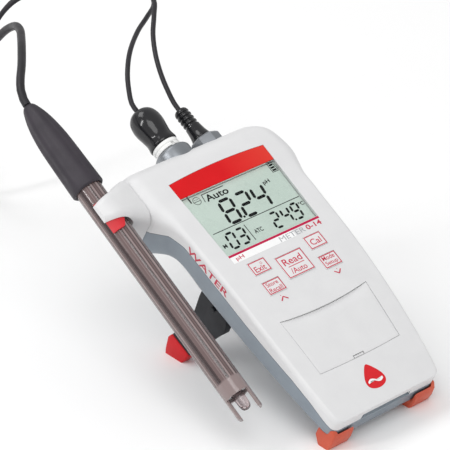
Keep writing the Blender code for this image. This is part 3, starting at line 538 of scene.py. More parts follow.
def prism_y(outline, low, high):
    return loft([[(x, y, z) for x, z in outline] for y in (low, high)])


def block(low, high):
    outline = [(low[1], low[2]), (high[1], low[2]), (high[1], high[2]), (low[1], high[2])]
    return prism_x(outline, low[0], high[0])


def patch(upper, lower, top, bottom, grow=0.0, arch=0.0, sag=0.0, across=24, along=18, crown=None, edge=0.0):
    """A slab that follows the face between two depths, with rounded upper edges and an optional crown."""
    layers = []
    for depth in (top, bottom):
        for row in range(along + 1):
            v = row / along
            for column in range(across + 1):
                u = 2.0 * column / across - 1.0
                half = upper[0] + (lower[0] - upper[0]) * v + grow
                start = upper[1] + grow + arch * (1.0 - u * u)
                end = lower[1] - grow + sag * (1.0 - u * u)
                y = start + (end - start) * v
                z = face_height(y) + depth
                if depth == top:
                    if row in (0, along) or column in (0, across):
                        z -= edge
                    if crown is not None:
                        z += crown(u, v)
                layers.append((u * half, y, z))
    width = across + 1
    size = width * (along + 1)
    faces = []
    for row in range(along):
        for column in range(across):
            a = row * width + column
            faces.append((a, a + 1, a + width + 1, a + width))
            faces.append((size + a, size + a + width, size + a + width + 1, size + a + 1))
    for column in range(across):
        for a in (column, along * width + column):
            faces.append((a, a + 1, size + a + 1, size + a))
    for row in range(along):
        for a in (row * width, row * width + across):
            faces.append((a, a + width, size + a + width, size + a))
    return layers, faces


def turned(profile, centre=(0.0, 0.0, 0.0), axis="Y", segments=64, ring=False, shape=None):
    """Turns a profile of (position, radius) about a line through centre. shape(angle, position) scales the radius."""
    sections = []
    for along, radius in profile:
        section = []
        for i in range(segments):
            angle = math.tau * i / segments
            reach = radius * (shape(angle, along) if shape else 1.0)
            a, b = reach * math.cos(angle), reach * math.sin(angle)
            offset = {"X": (along, a, b), "Y": (a, along, b), "Z": (a, b, along)}[axis]
            section.append(tuple(c + o for c, o in zip(centre, offset)))
        sections.append(section)
    return loft(sections, ring)


def closed_ring(first, second, height):
    """A flat band between two outlines of equal length."""
    count = len(first)
    points = [(x, y, height) for x, y in [*first, *second]]
    return points, [(i, (i + 1) % count, (i + 1) % count + count, i + count) for i in range(count)]


def cylinder(radius, start, end, centre, axis="Y", segments=48):
    return turned([(start, radius), (end, radius)], centre, axis, segments)


def rounded(profile, radius=0.35, steps=3):
    """Rounds the inner corners of an open profile of (position, radius) points."""
    result = [profile[0]]
    for before, here, after in zip(profile, profile[1:], profile[2:]):
        a, b, c = Vector(before), Vector(here), Vector(after)
        reach = min(radius, (a - b).length * 0.45, (c - b).length * 0.45)
        start = b + (a - b).normalized() * reach
        end = b + (c - b).normalized() * reach
        for i in range(steps + 1):
            t = i / steps
            point = start * (1 - t) ** 2 + b * 2 * t * (1 - t) + end * t**2
            result.append((point.x, point.y))
    return result + [profile[-1]]


def smooth_profile(table, step=0.8):
    """A finer profile through a table of (position, radius) points."""
    count = max(int((table[-1][0] - table[0][0]) / step), 2)
    places = [table[0][0] + (table[-1][0] - table[0][0]) * i / count for i in range(count + 1)]
    return [(at, curve_at(table, at)) for at in places]


def make_mesh(name, shape, place):
    points, faces = shape
    mesh = bpy.data.meshes.new(name)
    mesh.from_pydata([place @ (Vector(p) * MM) for p in points], [], faces)
    work = bmesh.new()
    work.from_mesh(mesh)
    bmesh.ops.recalc_face_normals(work, faces=work.faces)
    work.to_mesh(mesh)
    work.free()
    return mesh


def add(name, shape, look=None, place=METER, sharp=35.0):
    """A piece from points in millimetres of a frame, put in the row frame."""
    obj = bpy.data.objects.new(name, make_mesh(name, shape, place))
    bpy.context.scene.collection.objects.link(obj)
    if look is not None:
        obj.data.materials.append(look)
    smooth(obj, sharp)
    return obj


def smooth(obj, sharp=35.0):
    obj.data.shade_smooth()
    obj.data.set_sharp_from_angle(angle=math.radians(sharp))


def apply_modifiers(obj):
    result = bpy.data.meshes.new_from_object(obj.evaluated_get(bpy.context.evaluated_depsgraph_get()))
    obj.modifiers.clear()
    obj.data = result


def cut(obj, *cutters, operation="DIFFERENCE"):
    """Applies Booleans to obj and removes the cutters."""
    for shape in cutters:
        cutter = shape if isinstance(shape, bpy.types.Object) else add("cutter", shape)
        step = obj.modifiers.new("cut", "BOOLEAN")
        step.operation = operation
        step.object = cutter
        apply_modifiers(obj)
        bpy.data.objects.remove(cutter)
    return obj


def soften(obj, width, angle, segments):
    """Rounds the hard edges of a piece."""
    step = obj.modifiers.new("round", "BEVEL")
    step.width = width * MM
    step.segments = segments
    step.limit_method = "ANGLE"
    step.angle_limit = math.radians(angle)
    apply_modifiers(obj)
    smooth(obj)
    return obj


def stand_in(obj, body, slot, *nodes):
    """The piece rides on a body and stands for CAD nodes, which it hides. The slot is not used."""
    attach(obj, body)
    if nodes:
        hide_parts(*nodes)
    return obj


# ---- the case ----

def half_shell(name, upper, look):
    shell = add(name, loft([body_section(y, 0.0, 10) for y in stations(BOTTOM_END, HEAD_END)]), look)
    inner = [BOTTOM_END + WALL + 0.3 + (HEAD_END - BOTTOM_END - 2 * WALL - 0.3) * i / 40 for i in range(41)]
    cut(shell, loft([body_section(y, WALL, 4) for y in inner]))
    far = 40.0 if upper else -70.0
    shift = GAP / 2 if upper else -GAP / 2
    outline = [(y, z + shift) for y, z in MOULD_SPLIT]
    outline += [(MOULD_SPLIT[-1][0], far), (MOULD_SPLIT[0][0], far)]
    cut(shell, prism_x(outline, -60.0, 60.0), operation="INTERSECT")
    cut(shell, block((-60.0, -8.0, -50.0), (HUB_PLANE, 40.0, 20.0)),
        cylinder(5.3, -50.0, -38.0, (0.0, *ARM_AXIS), "X"))
    for (x, z), radius in ((BNC_AXIS, 6.3), (CINCH_AXIS, 5.0)):
        cut(shell, cylinder(radius, 18.0, 30.0, (x, 0.0, z)))
    return shell


def make_front_cover(looks):
    cover = half_shell("front_cover_skin", True, looks["white"])
    cut(cover, patch(*DISPLAY, 3.0, -8.0), patch(*BAND, 3.0, -1.3, grow=0.02, arch=BAND_ARCH),
        patch(*DOOR, 3.0, -8.0, arch=DOOR_SAG, sag=DOOR_BULGE))
    for left, right, top, low in KEYS.values():
        cut(cover, block((left, low, -8.0), (right, top, 3.0)))
    cut(cover, block((-15.0, -130.0, -20.0), (15.0, -125.2, -10.6)))
    smooth(cover, 30)
    stand_in(cover, "case", "white", "front_cover")


def make_rear_shell(looks):
    shell = half_shell("rear_shell_skin", False, looks["grey"])
    inner_x, outer_x = STAND_LEG_X
    for side in (-1, 1):
        low_x, high_x = sorted((side * (inner_x - 3.0), side * (outer_x + 2.2)))
        cut(shell, block((low_x, -69.2, -19.5), (high_x, -36.5, -11.4)), operation="UNION")
        low_x, high_x = sorted((side * (inner_x - 0.7), side * (outer_x + 0.7)))
        cut(shell, block((low_x, -67.6, -40.0), (high_x, -38.2, -12.8)))
        low_x, high_x = sorted((side * 22.5, side * 27.5))
        lug = [(-50.0, -20.0), (-49.5, -25.5)]
        lug += corner(STAND_AXIS, 3.6, 200, 340, 14)
        lug += [(-40.5, -25.5), (-40.0, -20.0)]
        cut(shell, prism_x(lug, low_x, high_x), operation="UNION")
        cut(shell, cylinder(1.6, low_x - 1, high_x + 1, (0.0, *STAND_AXIS), "X"))
    for x, y in SCREW_PLACES:
        cut(shell, cylinder(1.7, -3.0, 4.5, (x, y, curve_at(BACK, y)), "Z"))
        cut(shell, cylinder(3.1, -1.5, 0.6, (x, y, curve_at(BACK, y)), "Z"))
    smooth(shell, 30)
    stand_in(shell, "case", "grey", "rear_shell")


def make_screw_heads(looks):
    """Cross-recessed screw heads sunk in the back."""
    for number, (x, y) in enumerate(SCREW_PLACES, 1):
        back = curve_at(BACK, y)
        head = add(f"screw_head_{number}", turned([(-0.9, 1.9), (-0.75, 2.4), (-0.45, 2.65), (0.35, 2.75),
                                                   (0.35, 1.45), (8.0, 1.4), (9.0, 0.7)], (x, y, back), "Z", 40),
                   looks["steel"])
        for half in ((1.5, 0.35), (0.35, 1.5)):
            cut(head, block((x - half[0], y - half[1], back - 3.0), (x + half[0], y + half[1], back - 0.2)))
        smooth(head, 30)
        stand_in(head, "case", "steel", f"case_screw_{number}")


def make_display(looks):
    band = add("band", patch(*BAND, 0.0, -1.0, grow=-0.12, arch=BAND_ARCH, edge=0.08), looks["red"])
    stand_in(band, "case", "red", "red_band")
    window = add("window", patch(*DISPLAY, -0.05, -1.0, grow=-0.12, edge=0.1), looks["window"])
    stand_in(window, "case", "window", "display_window")
    glass = add("lcd_glass", patch(*DISPLAY, -1.6, -4.4, grow=-0.35), looks["lcd"])
    stand_in(glass, "case", "lcd", "lcd_module")


def on_display(u, v):
    """Millimetre point of the display picture, from its left and its top."""
    half = DISPLAY[0][0] + (DISPLAY[1][0] - DISPLAY[0][0]) * v
    return ((2.0 * u - 1.0) * half + PICTURE_SHIFT[0], DISPLAY[1][1] * v + PICTURE_SHIFT[1])


def slab(outline, height, thick=0.03):
    """Points and faces of a thin slab under a flat outline of (x, y)."""
    count = len(outline)
    points = [(x, y, height) for x, y in outline] + [(x, y, height - thick) for x, y in outline]
    faces = [tuple(range(count)), tuple(range(2 * count - 1, count - 1, -1))]
    faces += [(i, i + count, (i + 1) % count + count, (i + 1) % count) for i in range(count)]
    return points, faces


def gather(shapes):
    """Many shapes as one."""
    points, faces = [], []
    for more_points, more_faces in shapes:
        start = len(points)
        points += more_points
        faces += [tuple(i + start for i in face) for face in more_faces]
    return points, faces


def stroke(start, end, width, height):
    """A straight bar from start to end, as a thin slab."""
    a, b = Vector(start), Vector(end)
    along = (b - a).normalized()
    side = Vector((-along.y, along.x)) * width / 2
    return slab([tuple(p) for p in (a - side, b - side, b + side, a + side)], height)


SEGMENTS = {"0": "abcdef", "2": "abged", "3": "abgcd", "4": "fgbc", "8": "abcdefg", "9": "abcdfg"}


def seven_segment(figure, left, low, width, tall, weight):
    """The lit bars of one figure, each with mitred ends, leaning to the right."""
    corners = {"a": ((0, 1), (1, 1)), "b": ((1, 1), (1, 0.5)), "c": ((1, 0.5), (1, 0)), "d": ((0, 0), (1, 0)),
               "e": ((0, 0.5), (0, 0)), "f": ((0, 1), (0, 0.5)), "g": ((0, 0.5), (1, 0.5))}
    shapes = []
    for bar in SEGMENTS[figure]:
        (x0, y0), (x1, y1) = corners[bar]
        a = Vector((x0 * width, y0 * tall))
        b = Vector((x1 * width, y1 * tall))
        along = (b - a).normalized()
        side = Vector((-along.y, along.x)) * weight / 2
        a, b = a + along * weight * 0.28, b - along * weight * 0.28
        tip = along * weight / 2
        outline = [a, a + tip - side, b - tip - side, b, b - tip + side, a + tip + side]
        outline = [(left + p.x + SLANT * p.y, low + p.y) for p in outline]
        shapes.append(slab(outline, PICTURE_DEPTH))
    return shapes


def lettering(text, box, bold=0.0):
    """Flat letters that fill a box of (left, low, right, top), as (x, y) points and faces."""
    curve = bpy.data.curves.new("letters", "FONT")
    curve.body = text
    curve.offset = bold
    curve.resolution_u = 5
    obj = bpy.data.objects.new("letters", curve)
    bpy.context.scene.collection.objects.link(obj)
    graph = bpy.context.evaluated_depsgraph_get()
    mesh = bpy.data.meshes.new_from_object(obj.evaluated_get(graph))
    points = [v.co.copy() for v in mesh.vertices]
    faces = [tuple(p.vertices) for p in mesh.polygons]
    bpy.data.objects.remove(obj)
    bpy.data.curves.remove(curve)
    bpy.data.meshes.remove(mesh)
    low_x, high_x = min(p.x for p in points), max(p.x for p in points)
    low_y, high_y = min(p.y for p in points), max(p.y for p in points)
    left, low, right, top = box
    flat = [(left + (p.x - low_x) / (high_x - low_x) * (right - left),
             low + (p.y - low_y) / (high_y - low_y) * (top - low)) for p in points]
    return flat, faces


def flat_print(text, box, height, bold):
    flat, faces = lettering(text, box, bold)
    return [(x, y, height) for x, y in flat], faces


def face_print(text, box, bold=0.0):
    """Letters on the curved face, over any printed strip."""
    flat, faces = lettering(text, box, bold)
    return [(x, y, face_height(y) + 2 * PRINT_LIFT) for x, y in flat], faces


def box_on_display(u0, v0, u1, v1):
    left, top = on_display(u0, v0)
    right, low = on_display(u1, v1)
    return (left, low, right, top)


def ring_shape(centre, radius, width, height, count=24):
    inner = corner(centre, radius - width / 2, 0, 360, count)[:-1]
    outer = corner(centre, radius + width / 2, 0, 360, count)[:-1]
    return closed_ring(inner, outer, height)


def make_picture(looks):
    """What the display shows: a pH reading, a temperature, a store number and small signs."""
    deep = PICTURE_DEPTH
    shapes = []

    def figure(sign, u0, v0, u1, v1, weight):
        left, low, right, top = box_on_display(u0, v0, u1, v1)
        tall = top - low
        shapes.extend(seven_segment(sign, left, low, (right - left) - SLANT * tall, tall, weight))

    for sign, u0, u1 in (("8", 0.245, 0.39), ("2", 0.42, 0.56), ("4", 0.585, 0.725)):
        figure(sign, u0, 0.25, u1, 0.605, 1.55)
    for sign, u0, u1 in (("0", 0.10, 0.19), ("3", 0.21, 0.30)):
        figure(sign, u0, 0.71, u1, 0.94, 1.15)
    for sign, u0, u1 in (("2", 0.585, 0.675), ("4", 0.70, 0.79), ("9", 0.81, 0.90)):
        figure(sign, u0, 0.70, u1, 0.93, 1.15)
    for u, v, size in ((0.394, 0.587, 1.1), (0.797, 0.925, 0.95)):
        x, y = on_display(u, v)
        shapes.append(stroke((x - size / 2, y), (x + size / 2, y), size, deep))
    for start, end in (((0.03, 0.64), (0.965, 0.64)), ((0.335, 0.69), (0.335, 0.95)), ((0.19, 0.06), (0.42, 0.06)),
                       ((0.19, 0.06), (0.178, 0.175))):
        shapes.append(stroke(on_display(*start), on_display(*end), 0.36, deep))
    shapes.append(flat_print("Auto", box_on_display(0.20, 0.085, 0.43, 0.19), deep, bold=0.02))
    shapes.append(flat_print("pH", box_on_display(0.755, 0.225, 0.825, 0.305), deep, bold=0.018))
    shapes.append(flat_print("M", box_on_display(0.03, 0.83, 0.066, 0.89), deep, bold=0.018))
    shapes.append(flat_print("ATC", box_on_display(0.375, 0.81, 0.465, 0.875), deep, bold=0.018))
    shapes.append(flat_print("°C", box_on_display(0.912, 0.715, 0.967, 0.775), deep, bold=0.018))
    centre = on_display(0.118, 0.115)
    shapes.append(ring_shape(centre, 2.0, 0.24, deep))
    x, y = centre
    shapes.append(stroke((x - 1.9, y - 0.3), (x + 1.9, y - 0.3), 0.24, deep))
    for part in (-0.9, 0.0, 0.9):
        shapes.append(stroke((x + part - 0.25, y + 0.7), (x + part + 0.25, y + 0.7), 0.24, deep))
    shapes.append(stroke(on_display(0.062, 0.03), on_display(0.062, 0.115), 0.75, deep))
    left, low, right, top = box_on_display(0.905, 0.035, 0.965, 0.175)
    for start, end in (((left, low), (right, low)), ((left, top), (right, top)), ((left, low), (left, top)),
                       ((right, low), (right, top))):
        shapes.append(stroke(start, end, 0.3, deep))
    for part in (0.2, 0.5, 0.8):
        y = low + (top - low) * part
        shapes.append(stroke((left + 0.5, y), (right - 0.5, y), 1.0, deep))
    picture = add("display_picture", gather(shapes), looks["segment"], sharp=20)
    stand_in(picture, "case", "board")


def face_strip(low, high, left, right):
    """A printed bar across the face."""
    rows = 4
    points, faces = [], []
    for row in range(rows + 1):
        y = low + (high - low) * row / rows
        for x in (left, right):
            points.append((x, y, face_height(y) + PRINT_LIFT))
    for row in range(rows):
        faces.append((2 * row, 2 * row + 1, 2 * row + 3, 2 * row + 2))
    return points, faces


def face_outline(outline, lift):
    """A printed patch inside an outline of (x, y), laid on the curved face."""
    centre = (sum(x for x, _ in outline) / len(outline), sum(y for _, y in outline) / len(outline))
    points = [(x, y, face_height(y) + lift) for x, y in [centre, *outline]]
    return points, [(0, i + 1, (i + 1) % len(outline) + 1) for i in range(len(outline))]


def make_prints(looks):
    """Words and lines printed on the face, all of them generic."""
    line = add("display_line", face_strip(-36.3, -35.15, -27.3, 27.3), looks["magenta"])
    white = add("display_strip", face_strip(-39.8, -36.3, -27.0, 10.5), looks["ink_white"])
    unit = add("unit_print", face_print("pH", (-24.6, -39.4, -20.0, -36.9), bold=0.012), looks["ink"])
    name = add("model_print", face_print("METER", (1.5, -39.5, 16.6, -36.9)), looks["ink_grey"])
    number = add("range_print", face_print("0-14", (17.6, -39.5, 26.6, -36.9), bold=0.02), looks["ink"])
    for obj in (line, white, unit, name, number):
        stand_in(obj, "case", "red" if obj is not white else "white")
    arrows = []
    for x, y, way in ((-16.5, -64.3, 1), (16.9, -63.9, -1)):
        for side in (-1, 1):
            z = face_height(y) + PRINT_LIFT
            arrows.append(stroke((x + side * 1.9, y - 0.9 * way), (x, y + 0.9 * way), 0.55, z + 0.05))
    for x, y0, y1 in ((-17.2, -61.3, -62.8), (17.1, -61.3, -62.6)):
        arrows.append(stroke((x, y0), (x, y1), 0.3, face_height(y1) + PRINT_LIFT))
    marks = add("arrow_prints", gather(arrows), looks["ink"])
    stand_in(marks, "case", "red")


def make_mark(looks):
    """A plain red drop with a white wave, on the face below the battery door."""
    drop = []
    for i in range(48):
        a = math.tau * i / 48
        drop.append((-1.0 + 4.9 * math.sin(a) * (1 - 0.55 * math.cos(a)), -114.0 + 6.0 * math.cos(a)))
    wave = [(-1.0 + 4.2 * (2 * i / 12 - 1), -115.8 + 0.9 * math.sin(math.tau * i / 12)) for i in range(13)]
    wave += [(x, y - 0.9) for x, y in reversed(wave)]
    mark = add("drop_mark", face_outline(drop, 2 * PRINT_LIFT), looks["mark"])
    band = add("drop_wave", face_outline(wave, 4 * PRINT_LIFT), looks["ink_white"])
    stand_in(band, "case", "white")
    stand_in(mark, "case", "red")


def make_side_word(looks):
    """A generic word along the left side wall."""
    side_points, side_faces = lettering("WATER", (-50.5, -6.1, -21.5, -2.5), bold=0.015)
    placed = []
    for run, up in side_points:
        y = -72.0 - run
        placed.append((-curve_at(HALF_WIDTH_HUB, y) - PRINT_LIFT, y, up))
    side = add("side_print", (placed, side_faces), looks["ink"])
    stand_in(side, "case", "red")


def rounded_box(left, right, low, top, radius, count=5):
    outline = corner((right - radius, top - radius), radius, 0, 90, count)
    outline += corner((left + radius, top - radius), radius, 90, 180, count)
    outline += corner((left + radius, low + radius), radius, 180, 270, count)
    outline += corner((right - radius, low + radius), radius, 270, 360, count)
    return outline


LEGENDS = {
    "key_exit": [("Exit", (-20.4, -48.3, -14.2, -45.3))],
    "key_read": [("Read", (-5.6, -51.2, 5.2, -47.6)), ("/Auto", (-4.6, -56.2, 4.4, -53.3))],
    "key_cal": [("Cal", (14.0, -47.6, 20.0, -44.4))],
    "key_mode": [("Mode", (13.5, -56.8, 20.4, -54.4)), ("Setup", (13.5, -60.0, 20.6, -57.4))],
    "key_store": [("Store", (-20.6, -56.8, -13.9, -54.6)), ("Recall", (-20.7, -59.9, -13.4, -57.7))],
}


def make_keys(looks):
    """Soft key caps with rounded corners, each with its printed frame and words."""
    for name, (left, right, top, low) in KEYS.items():
        height = face_height((top + low) / 2)
        sections = []
        for inset, z in ((1.6, 0.22), (0.4, 0.20), (0.2, 0.14), (0.12, 0.0), (0.12, -3.0)):
            outline = rounded_box(left + inset, right - inset, low + inset, top - inset, 0.35)
            sections.append([(x, y, height + z) for x, y in outline])
        cap = add(f"{name}_cap", loft(sections), looks["key"], sharp=50)
        stand_in(cap, f"{name}_body", "white", name)
        shapes = []
        z = height + 0.22 + PRINT_LIFT
        edge, band = 0.3, 0.75
        outer = rounded_box(left + edge, right - edge, low + edge, top - edge, 0.2)
        inner = rounded_box(left + band, right - band, low + band, top - band, 0.1)
        shapes.append(closed_ring(outer, inner, z))
        for words, box in LEGENDS[name]:
            shapes.append(flat_print(words, box, z, bold=0.008))
        if name == "key_read":
            shapes.append(stroke((-4.4, -52.2), (5.0, -52.2), 0.36, z))
        if name == "key_exit":
            shapes.append(ring_shape((-15.2, -44.6), 0.55, 0.18, z))
        legend = add(f"{name}_legend", gather(shapes), looks["ink"])
        stand_in(legend, f"{name}_body", "red")


def door_crown(u, v):
    """A soft finger scoop along the door's upper edge."""
    return -0.9 * math.exp(-((v - 0.02) / 0.10) ** 2) * (1.0 - u * u) ** 0.5 if abs(u) < 1.0 else 0.0


def make_door(looks):
    door = add("door_panel", patch(*DOOR, 0.0, -1.8, grow=-0.22, arch=DOOR_SAG, sag=DOOR_BULGE, across=48, along=48,
                                   edge=0.15, crown=door_crown), looks["white"])
    cut(door, block((-4.0, -104.5, -20.0), (2.4, -101.9, 5.0)))
    smooth(door, 30)
    stand_in(door, "door", "white", "battery_door")
    y = DOOR[1][1]
    top = face_height(y) - 0.15
    outline = rounded([(-102.1, top - 1.6), (-102.1, top), (y - GAP, top), (y - GAP, top - 1.6)], 0.35)
    latch = add("latch_tab", prism_x(outline, -3.5, 1.9), looks["white"])
    for rib in range(3):
        x = -2.0 + 1.2 * rib
        cut(latch, block((x - 0.15, -104.0, top - 0.25), (x + 0.15, -101.0, top + 1.0)))
    smooth(latch, 30)
    stand_in(latch, "door", "white", "door_latch")


def ground_at(y):
    return (-ORIGIN.z / MM - y * math.sin(TILT)) / math.cos(TILT)


def ground_block():
    outline = [(-160.0, ground_at(-160.0)), (60.0, ground_at(60.0)), (60.0, -200.0), (-160.0, -200.0)]
    return prism_x(outline, -60.0, 60.0)


def make_feet(looks):
    outline = [(-118.5, -18.0), (-119.0, -25.2), (-122.5, -28.7), (-126.5, -29.6), (-128.6, -26.6),
               (-129.0, -21.5), (-128.4, -17.0), (-126.8, -14.6), (-125.0, -14.2)]
    for side, name in ((-1, "front_foot_left"), (1, "front_foot_right")):
        low_x, high_x = sorted((side * 18.8, side * 31.4))
        foot = add(f"{name}_pad", prism_x(outline, low_x, high_x), looks["foot"])
        soften(foot, 1.5, 30, 5)
        places = [BOTTOM_END - 1.0] + stations(BOTTOM_END, HEAD_END)[1:]
        cut(foot, loft([body_section(y, -0.12, 8) for y in places]), ground_block())
        smooth(foot, 40)
        stand_in(foot, "case", "foot", name)


# ---- the stand ----

def make_stand(looks):
    inner_x, outer_x = STAND_LEG_X
    stand = add("stand_frame", prism_x(STAND_LEG, -outer_x, -inner_x), looks["stand"])
    cut(stand, prism_x(STAND_LEG, inner_x, outer_x), operation="UNION")
    bar = [(-41.5, -30.5), (-36.0, -30.5), (-36.6, -36.5), (-41.5, -36.5)]
    cut(stand, prism_x(bar, -inner_x - 1.0, inner_x + 1.0), operation="UNION")
    soften(stand, 0.5, 30, 3)
    cut(stand, cylinder(1.36, -40.0, 40.0, (0.0, *STAND_AXIS), "X"))
    smooth(stand, 30)
    stand_in(stand, "stand", "stand", "kickstand")
    for side, name in ((-1, "stand_foot_left"), (1, "stand_foot_right")):
        low_x, high_x = sorted((side * (inner_x - 0.6), side * (outer_x + 0.6)))
        foot = add(f"{name}_pad", prism_x(STAND_FOOT, low_x, high_x), looks["stand_red"])
        soften(foot, 0.8, 25, 3)
        cut(foot, ground_block())
        smooth(foot, 35)
        stand_in(foot, "stand", "stand_red", name)


# ---- connectors and plugs ----

def make_connectors(looks):
    x, z = BNC_AXIS
    at = (x, 0.0, z)
    collar = rounded([(HEAD_END - 4.0, 6.4), (HEAD_END - 4.0, 9.3), (27.4, 9.3), (28.6, 8.6), (29.2, 7.4), (29.2, 6.4)],
                     0.5)
    stand_in(add("bnc_collar_ring", turned(collar, at, ring=True), looks["nickel"]), "case", "nickel", "bnc_collar")
    ring = rounded([(29.8, 5.3), (29.8, 6.7), (31.2, 6.7), (31.4, 6.4), (31.7, 6.4), (31.9, 6.7), (33.6, 6.7),
                    (33.6, 5.3)], 0.2)
    lock = add("bnc_ring_sleeve", turned(ring, at, ring=True), looks["ring"])
    for side in (-1, 1):
        cut(lock, block((x - 0.9, 29.0, z + side * 6.6 - 1.0), (x + 0.9, 31.5, z + side * 6.6 + 1.0)))
    smooth(lock, 35)
    stand_in(lock, "lock_ring", "ring", "bnc_lock_ring")
    profile = smooth_profile([(33.9, 7.15), (35.0, 7.1), (38.0, 6.7), (41.5, 7.1), (45.5, 7.7), (49.0, 7.55),
                              (52.0, 6.6), (54.2, 4.6), (55.2, 2.4)], 0.5)
    profile = [(33.9, 5.3), (33.9, 6.9)] + profile[1:] + [(55.4, 1.3), (45.6, 1.3), (45.5, 5.3)]
    boot = add("bnc_boot_cover", turned(profile, at, ring=True), looks["boot"], sharp=50)
    stand_in(boot, "case", "boot", "bnc_boot")

    x, z = CINCH_AXIS
    at = (x, 0.0, z)
    collar = rounded([(HEAD_END - 4.0, 5.2), (HEAD_END - 4.0, 8.1), (27.4, 8.1), (28.7, 7.0), (28.7, 5.2)], 0.3)
    stand_in(add("cinch_collar_nut", turned(collar, at, segments=8, ring=True), looks["nickel"], sharp=20),
             "case", "nickel", "cinch_collar")
    profile = [(29.3, 3.0), (29.3, 4.7), (30.0, 4.95), (31.4, 4.6), (33.0, 4.2), (36.5, 3.75)]
    for rib in range(4):
        start = 37.3 + 2.2 * rib
        profile += [(start, 3.75), (start + 0.35, 2.9), (start + 0.95, 2.9), (start + 1.3, 3.6)]
    profile += [(46.2, 3.5), (47.2, 3.0), (47.8, 1.9), (47.8, 1.25), (38.4, 1.25), (38.3, 3.0)]
    boot = add("cinch_boot_cover", turned(rounded(profile, 0.3), at, ring=True), looks["boot"], sharp=60)
    stand_in(boot, "case", "boot", "cinch_boot")


# ---- the clip arm and the electrode ----

def tongue_reach(angle):
    """How far the grip shows below the arm: fully on its upper outer side, and hardly at all elsewhere."""
    return min(max((math.degrees(angle) - 62.0) / 30.0, 0.0), 1.0) if angle > 0.0 else 0.0


def make_arm(looks):
    rows = [(-43.8, -1.2, 23.8, -29.5, -2.6, 6.5), (-47.0, 0.0, 22.6, -27.0, -1.4, 6.2),
            (-52.0, 1.6, 20.6, -22.5, 0.2, 5.5), (-56.0, 2.6, 19.0, -19.2, 1.2, 4.8),
            (-60.0, 3.6, 17.6, -17.9, 1.7, 3.8), (-63.5, 4.6, 16.4, -17.0, 1.0, 3.2),
            (-66.6, 6.0, 15.2, -15.2, -0.9, 2.6)]
    keys = [[(-row[0], row[column]) for row in rows] for column in range(1, 6)]
    sections = []
    count = 26
    for i in range(count + 1):
        at = 43.8 + (66.6 - 43.8) * i / count
        y0, y1, z0, z1, r = (curve_at(table, at) for table in keys)
        outline = corner((y1 - r, z1 - r), r, 0, 90, 10) + corner((y0 + r, z1 - r), r, 90, 180, 10)
        outline += corner((y0 + r, z0 + r), r, 180, 270, 10) + corner((y1 - r, z0 + r), r, 270, 360, 10)
        sections.append([(-at, y, z) for y, z in outline])
    arm = add("clip_arm_shell", loft(sections), looks["white"])
    bore = add("bore", cylinder(7.85, -40.0, 40.0, (0.0, 0.0, 0.0), segments=64), place=ELECTRODE)
    mouth = add("mouth", prism_y(CLIP_MOUTH, -15.0, 15.0), place=ELECTRODE)
    cut(arm, bore, mouth, cylinder(5.3, -50.5, -40.0, (0.0, *ARM_AXIS), "X"))
    smooth(arm, 35)
    stand_in(arm, "electrode_arm", "white", "clip_arm")
    sleeve = rounded([(-12.0, 6.6), (-12.0, 7.4), (-11.5, 7.55), (5.2, 7.55), (5.2, 6.6)], 0.2)
    points, faces = turned(sleeve, ring=True)
    tongue = [(x, max(y, -4.0 - 7.0 * tongue_reach(math.atan2(z, x))), z) for x, y, z in points]
    grip = add("grip_sleeve", (tongue, faces), looks["grip"], place=ELECTRODE)
    mouth = add("mouth", prism_y([(0.0, 0.0), (-20.0, 15.0), (-20.0, -20.0), (-7.3, -20.0)], -15.0, 10.0),
                place=ELECTRODE)
    cut(grip, mouth)
    smooth(grip, 35)
    stand_in(grip, "electrode_arm", "grip", "clip_grip")


def make_electrode(looks):
    """Drawn along its own axis: the clip at 0, the cap at +Y, the tip at -Y."""
    profile = [(-112.4, 5.25), (-112.4, 6.0), (-111.8, SHAFT_RADIUS), (20.8, SHAFT_RADIUS), (21.0, 5.3)]
    shaft = add("shaft_tube", turned(profile, ring=True, segments=96), looks["shaft"], place=ELECTRODE)
    prong = math.atan2(0.604, 0.797)
    for side in (-1, 1):
        turn = Matrix.Rotation(-prong, 3, "Y")
        points, faces = prism_y([(0.0, 0.0), (9.0, side * 5.2), (9.0, side * 9.0), (-9.0, side * 9.0),
                                 (-9.0, side * 5.2)], -120.0, -102.6)
        cut(shaft, add("gap", ([tuple(turn @ Vector(p)) for p in points], faces), place=ELECTRODE))
    smooth(shaft, 35)
    stand_in(shaft, "electrode_arm", "shaft", "electrode_shaft")
    plug = rounded([(-101.8, 3.0), (-101.8, 4.6), (-101.2, 5.0), (-96.2, 5.0), (-96.2, 3.0)], 0.3)
    stand_in(add("tip_plug", turned(plug, ring=True), looks["bulb"], place=ELECTRODE), "electrode_arm", "inner",
             "electrode_tip_plug")
    stem = [(-87.6, 2.6), (-60.0, 2.6), (-59.6, 3.0), (-42.0, 3.0), (-41.6, 2.5), (-30.0, 2.6), (-29.0, 3.2),
            (12.0, 3.2), (13.0, 2.6)]
    stand_in(add("inner_stem", turned(stem), looks["inner"], place=ELECTRODE), "electrode_arm", "inner",
             "inner_tube")
    bulb = smooth_profile([(-110.2, 0.4), (-109.9, 1.4), (-108.8, 2.25), (-106.0, 2.65), (-103.0, 2.7),
                           (-99.0, 2.55), (-88.0, 2.7)], 0.35)
    stand_in(add("bulb", turned(bulb), looks["bulb"], place=ELECTRODE), "electrode_arm", "bulb", "glass_bulb")


